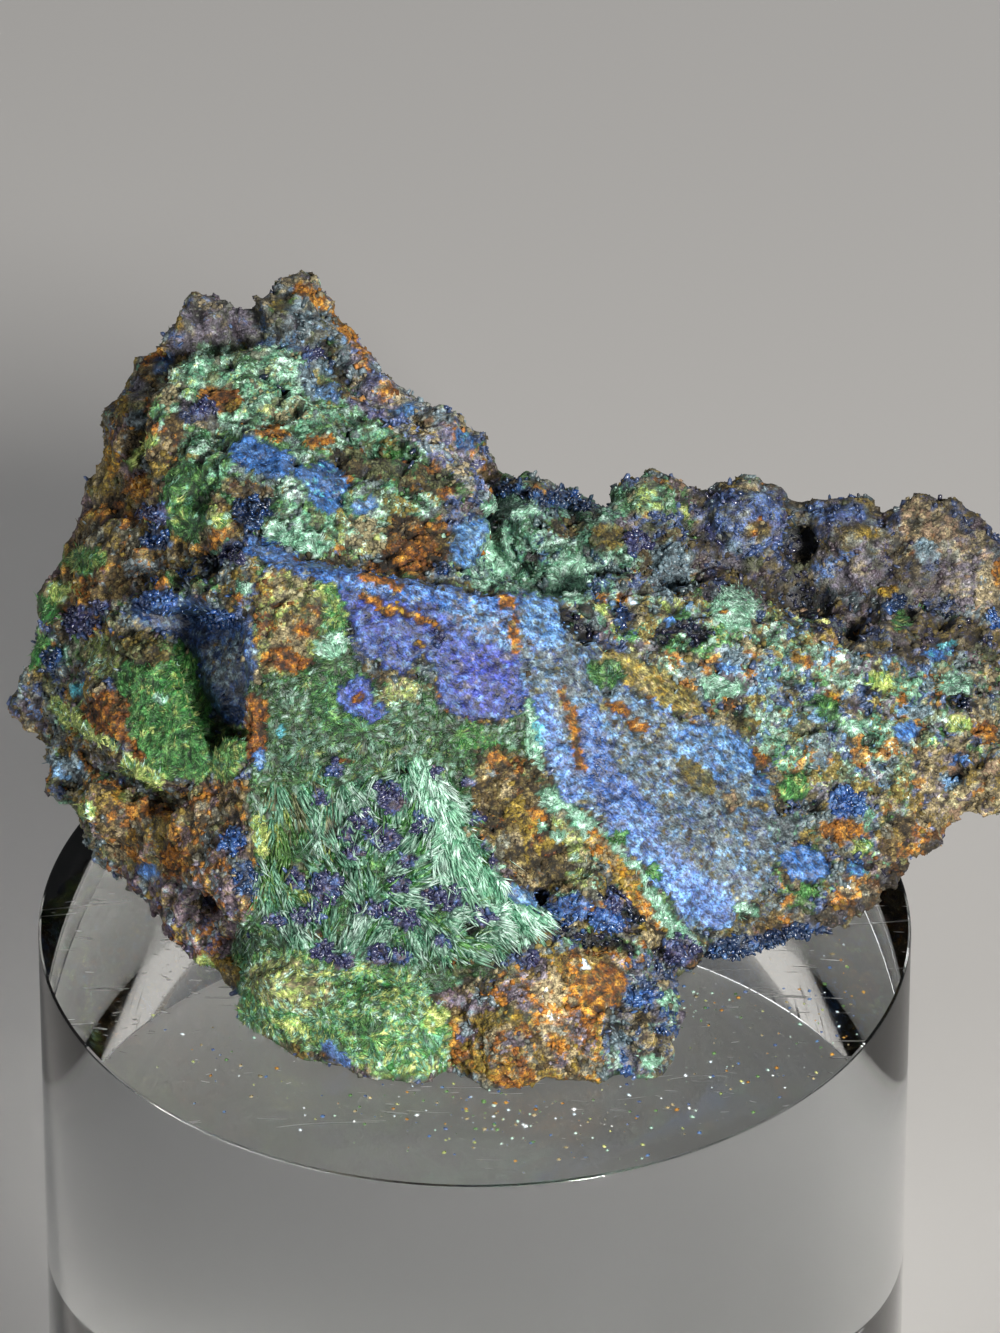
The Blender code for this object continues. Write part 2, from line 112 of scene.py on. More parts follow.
TONES = {
    "azurite": ("#1c2c50", "#324775", "#546b9b", 0.42),
    "lobe blue": ("#10225b", "#2e4793", "#5d7bc1", 0.5),
    "lobe violet": ("#131857", "#313c95", "#5b6bc3", 0.5),
    "bright azurite": ("#153b71", "#325f9d", "#628cc3", 0.38),
    "deep azurite": ("#11285d", "#284b87", "#5479aa", 0.34),
    "light azurite": ("#30567f", "#537ca5", "#7ea8d1", 0.45),
    "violet azurite": ("#171635", "#31335a", "#585f7f", 0.38),
    "azure": ("#032f63", "#1c528b", "#4e75ac", 0.42),
    "cyan": ("#216c7f", "#4ea0ad", "#8fccd2", 0.45),
    "navy": ("#06132a", "#1a2e52", "#3f5879", 0.4),
    "slate": ("#2e3f46", "#4f6169", "#7c8f96", 0.5),
    "grey slate": ("#2e363c", "#525e64", "#7f8b92", 0.55),
    "lavender": ("#2c467e", "#4a6ba4", "#749fcd", 0.45),
    "lilac": ("#3e3947", "#605a68", "#86828d", 0.5),
    "violet": ("#271d2a", "#4b3d48", "#746569", 0.5),
    "malachite": ("#183b13", "#36642d", "#6d9653", 0.5),
    "dark malachite": ("#061f0c", "#17411d", "#316536", 0.5),
    "emerald": ("#12431c", "#2f7033", "#6ba75f", 0.45),
    "sea green": ("#25543f", "#4e876a", "#8bb99f", 0.5),
    "mint": ("#547f62", "#84b19a", "#c8dfd7", 0.6),
    "lime": ("#4c6026", "#829649", "#c5c881", 0.6),
    "olive": ("#242d11", "#4a512e", "#757b58", 0.65),
    "mustard": ("#503703", "#7c5f12", "#aa902a", 0.75),
    "yellow": ("#664601", "#956b05", "#bd911a", 0.75),
    "ochre": ("#4d4106", "#705f1a", "#927e3a", 0.8),
    "gold": ("#464419", "#6f6938", "#99925f", 0.7),
    "orange": ("#633902", "#8f590d", "#ba8c36", 0.8),
    "rust": ("#381700", "#6b3b01", "#9d6b14", 0.75),
    "brown": ("#261c08", "#493b1c", "#71683e", 0.85),
    "dark brown": ("#0b0703", "#1c180a", "#38311a", 0.85),
    "cream": ("#6f6a4a", "#a29c74", "#cfcaa6", 0.7),
    "tan": ("#534a38", "#7b7154", "#a99a74", 0.8),
    "pink tan": ("#564334", "#7f6752", "#a79176", 0.8),
    "grey": ("#35372b", "#5b5c4f", "#7f857a", 0.7),
    "white": ("#97a9b7", "#cbe3f3", "#f6f7f8", 0.35),
}

# Crusts: how the surface is built, how light it is, and how often each mineral comes in it

MIXES = {
    "mixed crust": ("crust", 1.00, {
        "slate": 3, "violet": 2, "grey": 3, "brown": 3, "ochre": 2, "tan": 2, "malachite": 2,
        "sea green": 1, "azurite": 3, "orange": 1, "olive": 1,
    }),
    "green blue crust": ("crust", 1.02, {
        "mint": 3, "sea green": 3, "lime": 2, "slate": 3, "azurite": 3, "olive": 3, "orange": 2,
        "ochre": 3, "lilac": 2, "brown": 2, "emerald": 2, "light azurite": 2, "tan": 2,
    }),
    "violet brown crust": ("worn", 0.58, {
        "violet": 2, "azurite": 3, "slate": 2, "brown": 3, "ochre": 3, "grey": 2, "lilac": 2,
        "violet azurite": 2, "tan": 2, "olive": 1,
    }),
    # Edge crust: dark minerals, darkened to a quarter as painted shade along the shaded underside
    # of the lower right edge.
    "edge crust": ("crust", 0.25, {
        "dark brown": 3, "brown": 4, "violet azurite": 2, "navy": 1, "orange": 2, "tan": 2,
        "lilac": 1,
    }),
    "blue crust": ("worn", 1.80, {
        "azurite": 3, "slate": 4, "lilac": 3, "grey": 3, "tan": 2, "orange": 1, "violet azurite": 1,
    }),
    "green crust": ("crust", 1.06, {
        "malachite": 4, "mint": 3, "sea green": 3, "olive": 2, "grey slate": 2, "ochre": 1,
        "dark malachite": 2,
    }),
    "mint crust": ("crust", 1.24, {
        "mint": 4, "grey": 2, "sea green": 3, "dark malachite": 2, "lime": 2, "olive": 1, "tan": 1,
    }),
    # Dark crust: dark minerals, and also painted shadow where it lies in valleys, cracks, grooves
    # and under overhangs.
    "dark crust": ("crust", 1.15, {
        "dark brown": 4, "brown": 4, "dark malachite": 2, "olive": 2, "rust": 1, "navy": 1,
    }),
    "brown crust": ("worn", 1.20, {
        "brown": 5, "rust": 2, "ochre": 2, "grey": 1, "violet": 2, "dark brown": 2, "orange": 2,
        "slate": 1, "olive": 1, "tan": 1,
    }),
    "grey brown": ("worn", 0.90, {"grey": 3, "brown": 3, "slate": 1, "lilac": 1, "ochre": 1}),
    "violet crust": ("worn", 1.58, {
        "violet": 4, "slate": 2, "violet azurite": 2, "brown": 3, "grey": 1, "lilac": 1, "ochre": 1,
        "rust": 1,
    }),
    "lilac crust": ("worn", 0.82, {"lilac": 4, "lavender": 1, "violet": 2, "grey": 2, "tan": 1}),
    "tan grains": ("crust", 0.86, {
        "tan": 5, "pink tan": 1, "orange": 2, "ochre": 2, "lilac": 1, "azurite": 1, "cream": 2,
    }),
    "lilac tan": ("worn", 1.03, {"lilac": 3, "tan": 3, "grey": 2, "slate": 1, "pink tan": 1}),
    "tan crust": ("worn", 0.84, {"tan": 5, "grey": 2, "pink tan": 2, "orange": 1, "lilac": 1}),
    "summit crust": ("worn", 0.81, {
        "grey slate": 3, "olive": 2, "slate": 2, "light azurite": 1, "tan": 2, "lilac": 2,
        "grey": 2,
    }),
    "limonite": ("earth", 1.28, {
        "ochre": 3, "tan": 2, "orange": 3, "rust": 2, "brown": 2, "lilac": 1, "grey": 1,
    }),
    "ochre earth": ("earth", 0.83, {"ochre": 5, "yellow": 1, "mustard": 2, "tan": 1, "olive": 1}),
    "orange earth": ("earth", 0.98, {"orange": 6, "rust": 2, "tan": 1, "mustard": 1}),
    "amber earth": ("earth", 1.20, {"orange": 3, "ochre": 3, "tan": 3, "yellow": 1}),
    "rust earth": ("earth", 1.12, {"rust": 7, "orange": 1, "brown": 2, "dark brown": 1}),
    "brown earth": ("earth", 1.28, {
        "brown": 5, "rust": 1, "dark brown": 5, "grey": 1, "tan": 2, "ochre": 1,
    }),
    "tan earth": ("earth", 1.09, {"tan": 5, "pink tan": 3, "ochre": 1, "grey": 1}),
    "mustard mottle": ("earth", 0.84, {
        "mustard": 2, "lime": 3, "tan": 3, "olive": 3, "rust": 2, "brown": 1, "cream": 2,
    }),
    "gold earth": ("sheet", 1.24, {"gold": 6, "ochre": 2, "mustard": 1, "tan": 1}),
    "rust glaze": ("sheet", 1.12, {"rust": 6, "orange": 2, "brown": 2}),
    # Pits: their dark colour, cut to about a third, is painted shade in the holes.
    "dark pit": ("pit", 0.36, {
        "navy": 4, "dark brown": 4, "dark malachite": 2, "violet azurite": 2,
    }),
    "green pit": ("pit", 0.30, {"dark malachite": 5, "navy": 1, "dark brown": 1}),
    "azurite": ("sheet", 0.74, {
        "lobe blue": 12, "lobe violet": 3, "lavender": 2, "bright azurite": 1, "navy": 1,
    }),
    "azurite strip": ("sheet", 1.31, {
        "azurite": 4, "bright azurite": 5, "deep azurite": 2, "grey": 1, "navy": 1,
    }),
    "deep azurite": ("druse", 1.02, {"deep azurite": 8, "azurite": 1, "navy": 1}),
    "deep sheet": ("sheet", 1.17, {"deep azurite": 8, "azurite": 2, "lavender": 1}),
    "lavender sheet": ("sheet", 1.30, {"lavender": 5, "azurite": 3, "light azurite": 2}),
    "light sheet": ("sheet", 1.14, {"light azurite": 5, "bright azurite": 3, "slate": 2}),
    "pale sheet": ("sheet", 0.92, {
        "light azurite": 4, "lilac": 2, "azurite": 3, "bright azurite": 3, "grey": 1,
    }),
    "saddle crust": ("crust", 0.78, {
        "sea green": 4, "mint": 3, "slate": 2, "navy": 1, "dark malachite": 3, "azurite": 1,
    }),
    "pale earth": ("earth", 1.79, {"tan": 5, "pink tan": 2, "white": 1, "orange": 1}),
    "rust crust": ("crust", 0.64, {
        "rust": 4, "brown": 4, "orange": 2, "dark brown": 3, "ochre": 1,
    }),
    "slate sheet": ("sheet", 1.00, {
        "slate": 8, "azurite": 3, "light azurite": 3, "grey slate": 3, "gold": 1, "brown": 1,
        "navy": 1,
    }),
    "bright azurite": ("sheet", 1.07, {"bright azurite": 6, "azure": 3, "light azurite": 1}),
    "azure": ("sheet", 0.84, {"azure": 6, "bright azurite": 3, "cyan": 1}),
    "violet azurite": ("druse", 0.92, {"violet azurite": 7, "azurite": 2, "violet": 1}),
    "violet sheet": ("sheet", 1.00, {
        "lobe violet": 9, "lobe blue": 4, "deep azurite": 1, "lilac": 1, "navy": 1,
    }),
    "lobe azurite": ("worn", 1.16, {
        "azurite": 5, "violet azurite": 4, "slate": 2, "grey": 2, "navy": 1,
    }),
    "navy face": ("sheet", 1.48, {"navy": 8, "slate": 1, "deep azurite": 1}),
    "navy": ("druse", 0.84, {"navy": 8, "deep azurite": 2}),
    "slate navy": ("sheet", 1.80, {"grey slate": 4, "navy": 3, "slate": 2, "brown": 1}),
    "slate": ("crust", 1.21, {"slate": 6, "grey slate": 2, "light azurite": 1}),
    "grey slate": ("crust", 0.89, {"grey slate": 5, "slate": 2, "sea green": 1}),
    "cyan": ("sheet", 1.33, {"cyan": 1}),
    "malachite face": ("velvet", 0.59, {
        "malachite": 6, "emerald": 2, "sea green": 3, "dark malachite": 5, "mint": 3, "lime": 1,
    }),
    "dark malachite": ("velvet", 1.25, {"dark malachite": 6, "malachite": 3, "sea green": 1}),
    "emerald": ("velvet", 1.11, {"emerald": 6, "malachite": 2, "dark malachite": 1, "lime": 1}),
    "fresh malachite": ("velvet", 1.12, {"emerald": 3, "lime": 3, "malachite": 2, "sea green": 1}),
    "cream malachite": ("velvet", 1.33, {"lime": 2, "olive": 3, "tan": 1, "mint": 1}),
    "sprays": ("spray", 0.90, {"sea green": 7, "mint": 6, "malachite": 2, "emerald": 3}),
    "lime sprays": ("spray", 1.04, {
        "malachite": 3, "lime": 1, "olive": 3, "sea green": 5, "mint": 2, "emerald": 1,
    }),
    "mint sprays": ("spray", 1.12, {"mint": 6, "sea green": 4, "malachite": 1}),
    "bright sprays": ("spray", 1.56, {"mint": 7, "sea green": 3}),
    "mint": ("velvet", 1.21, {"mint": 6, "sea green": 3}),
    "lime": ("velvet", 1.56, {"lime": 6, "malachite": 1, "mint": 1}),
    "green foot": ("velvet", 1.17, {
        "sea green": 4, "malachite": 3, "lime": 3, "emerald": 2, "mint": 1, "olive": 1,
    }),
    "olive": ("crust", 0.76, {"olive": 5, "ochre": 2, "malachite": 1, "brown": 1}),
    "olive gold": ("sheet", 0.59, {"gold": 3, "olive": 3, "ochre": 2, "slate": 1}),
    "yellow": ("earth", 0.58, {"yellow": 5, "ochre": 1, "lime": 1}),
    "cream crust": ("crust", 1.12, {"tan": 3, "mint": 2, "grey": 2, "gold": 1, "lime": 1}),
    "white": ("sheet", 1.20, {"white": 1}),
    "right lobe": ("crust", 0.76, {
        "azurite": 3, "mint": 2, "tan": 2, "brown": 1, "slate": 2, "lilac": 2, "deep azurite": 1,
    }),
}

# Where each crust lies, as seen from the front of the stone, in pixels of a view 1000 wide and
# 1333 high. Later places lie over earlier ones. Fields are outlines, bands follow a line with a
# half width, and spots are ovals: centre, half width, half height and turn of the long axis.

FIELDS = (
    ("violet brown crust", ((690, 480), (1010, 500), (1010, 650), (900, 660), (780, 640),
                            (700, 600))),
    ("green blue crust", ((590, 590), (700, 600), (780, 610), (860, 655), (950, 665), (950, 730),
                          (900, 800), (820, 800), (770, 760), (700, 715), (640, 670))),
    ("brown crust", ((150, 340), (215, 330), (262, 470), (250, 530), (180, 565), (130, 590),
                     (60, 615), (40, 610), (75, 500), (105, 440))),
    ("lilac crust", ((160, 355), (170, 330), (205, 283), (245, 298), (262, 335), (235, 352))),
    ("summit crust", ((243, 300), (262, 272), (285, 262), (340, 300), (370, 345), (352, 405),
                      (300, 352), (262, 345))),
    ("blue crust", ((350, 335), (400, 385), (445, 408), (475, 445), (500, 480), (485, 502),
                    (440, 470), (400, 432), (350, 402))),
    ("green crust", ((150, 410), (175, 365), (208, 342), (300, 350), (345, 400), (425, 450),
                     (445, 500), (405, 562), (330, 545), (250, 532), (198, 475), (160, 435))),
    ("mint crust", ((170, 368), (208, 344), (300, 350), (312, 420), (250, 432), (196, 425))),
    ("navy face", ((130, 593), (173, 591), (204, 601), (241, 617), (257, 638), (251, 683),
                   (245, 724), (226, 724), (208, 703), (196, 662), (180, 636), (155, 628),
                   (131, 617))),
    ("emerald", ((125, 645), (180, 640), (200, 665), (214, 720), (206, 780), (150, 778),
                 (128, 740), (118, 690))),
    ("brown crust", ((80, 775), (160, 785), (250, 780), (262, 860), (250, 900), (170, 880),
                     (110, 860))),
    ("violet crust", ((110, 865), (180, 860), (250, 880), (245, 960), (200, 985), (165, 950))),
    ("saddle crust",
     ((500, 488), (560, 495), (600, 490), (628, 520), (640, 560), (600, 602),
      (540, 602), (478, 592), (452, 560), (478, 520))),
    ("fresh malachite", ((298, 560), (342, 588), (352, 645), (322, 648), (318, 600))),
    ("malachite face", ((252, 690), (262, 672), (322, 640), (350, 640), (365, 680), (425, 682),
                        (440, 708), (470, 724), (505, 724), (532, 700), (546, 790), (520, 765),
                        (480, 752), (468, 800), (486, 850), (520, 900), (547, 925), (500, 960),
                        (455, 985), (430, 1000), (455, 1062), (330, 1055), (240, 1025),
                        (228, 960), (258, 900), (250, 800))),
    ("azurite", ((336, 590), (400, 600), (455, 600), (500, 620), (525, 650), (532, 690),
                 (508, 721), (470, 721), (452, 712), (439, 698), (434, 674), (426, 652),
                 (412, 662), (402, 677), (386, 666), (370, 653), (358, 640), (346, 615))),
    ("pale sheet", ((427, 588), (478, 594), (520, 592), (560, 622), (596, 664), (560, 690),
                    (530, 658), (478, 640), (440, 610))),
    ("sprays", ((262, 800), (275, 775), (295, 792), (318, 768), (340, 790), (362, 768),
                (385, 782), (400, 755), (440, 772), (468, 800), (488, 860), (545, 925),
                (480, 962), (420, 962), (300, 962), (255, 900))),
    ("lime sprays", ((262, 800), (275, 775), (295, 792), (318, 768), (335, 790), (342, 850),
                     (300, 905), (258, 900))),
    ("mint sprays", ((405, 775), (415, 750), (440, 772), (472, 830), (500, 878), (548, 922),
                     (522, 948), (470, 922), (432, 872), (408, 822))),
    ("green foot", ((232, 955), (300, 948), (400, 968), (440, 992), (460, 1060), (425, 1082),
                    (380, 1075), (330, 1056), (262, 1038), (240, 1024))),
    ("slate sheet", ((518, 590), (562, 600), (600, 650), (640, 700), (720, 740), (772, 790),
                     (790, 850), (765, 890), (722, 928), (690, 932), (640, 852), (590, 812),
                     (560, 792), (540, 742), (524, 680))),
    ("brown earth", ((480, 752), (525, 752), (548, 790), (590, 850), (602, 882), (570, 897),
                     (520, 882), (482, 832), (468, 792))),
    ("limonite", ((448, 1000), (500, 984), (540, 958), (590, 944), (628, 955), (625, 1010),
                  (600, 1052), (600, 1088), (520, 1097), (452, 1062))),
    ("right lobe", ((612, 974), (650, 968), (692, 985), (690, 1022), (667, 1076), (612, 1076),
                    (603, 1040))),
    ("tan grains", ((912, 742), (1010, 758), (1010, 830), (940, 840), (903, 852))),
    ("rust crust", ((393, 515), (452, 523), (449, 552), (425, 580), (370, 571), (380, 546))),
    ("tan crust", ((903, 500), (945, 510), (975, 538), (942, 562), (904, 542))),
    ("lilac tan", ((940, 540), (985, 545), (1010, 590), (1005, 640), (950, 600))),
    ("mustard mottle", ((253, 577), (300, 572), (320, 600), (322, 640), (300, 672), (262, 674),
                        (254, 640))),
)

BANDS = (
    # Painted shade along the underside of the lower right edge.
    ("edge crust", 13, ((700, 966), (760, 946), (820, 924), (880, 890), (935, 846))),
    ("orange earth", 7, ((300, 285), (333, 308), (360, 342))),
    # The dark crust bands lie in valleys, cracks, grooves and under overhangs, as painted shadow.
    ("dark crust", 6, ((326, 347), (342, 378), (347, 392))),
    ("dark crust", 14, ((345, 462), (395, 470), (440, 487))),
    ("lime", 5, ((154, 437), (130, 462))),
    ("lime", 8, ((55, 703), (71, 718), (88, 734), (114, 756), (143, 775), (157, 783))),
    ("rust earth", 6, ((110, 724), (141, 757))),
    # Painted shadow in the crack under the rim over the navy face.
    ("dark crust", 7, ((143, 590), (175, 575), (210, 585), (236, 600))),
    ("azurite strip", 10, ((254, 545), (300, 567), (361, 581), (430, 594))),
    ("azurite strip", 11, ((430, 592), (500, 602), (545, 608))),
    ("mint", 10, ((272, 530), (319, 548))),
    ("rust earth", 10, ((259, 700), (255, 755))),
    # Painted shadow along the groove under the block's edge.
    ("dark crust", 3, ((298, 557), (351, 563), (427, 582), (500, 594))),
    ("rust glaze", 5, ((362, 579), (396, 586))),
    ("orange earth", 4, ((361, 597), (402, 612), (443, 629))),
    ("rust glaze", 5, ((514, 622), (519, 650))),
    ("mint", 6, ((532, 699), (537, 745), (541, 794))),
    ("bright sprays", 13, ((425, 772), (464, 860), (486, 881), (534, 918))),
    ("lavender sheet", 4, ((328, 1046), (347, 1064))),
    ("mint", 9, ((540, 790), (582, 819), (620, 860), (660, 912), (690, 945))),
    # Painted shadow in the recess under the malachite's overhang.
    ("dark crust", 9, ((484, 756), (520, 758), (540, 786))),
    ("cream crust", 8, ((560, 815), (578, 850), (590, 880))),
    ("amber earth", 8, ((595, 838), (625, 880), (655, 928))),
    ("dark pit", 8, ((612, 892), (642, 928), (672, 962))),
    ("deep sheet", 12, ((586, 718), (600, 750))),
    ("deep sheet", 19, ((583, 755), (612, 792), (642, 826))),
    ("lavender sheet", 20, ((630, 826), (668, 868), (718, 912))),
    ("rust glaze", 5, ((566, 690), (571, 725), (578, 768))),
    ("lavender sheet", 10, ((540, 700), (552, 745), (575, 790))),
    ("navy", 7, ((503, 490), (545, 497), (583, 505))),
    ("navy", 8, ((715, 948), (760, 944), (820, 930))),
    ("white", 2, ((578, 962), (592, 966))),
    ("dark pit", 5, ((545, 925), (585, 938), (632, 950))),
)

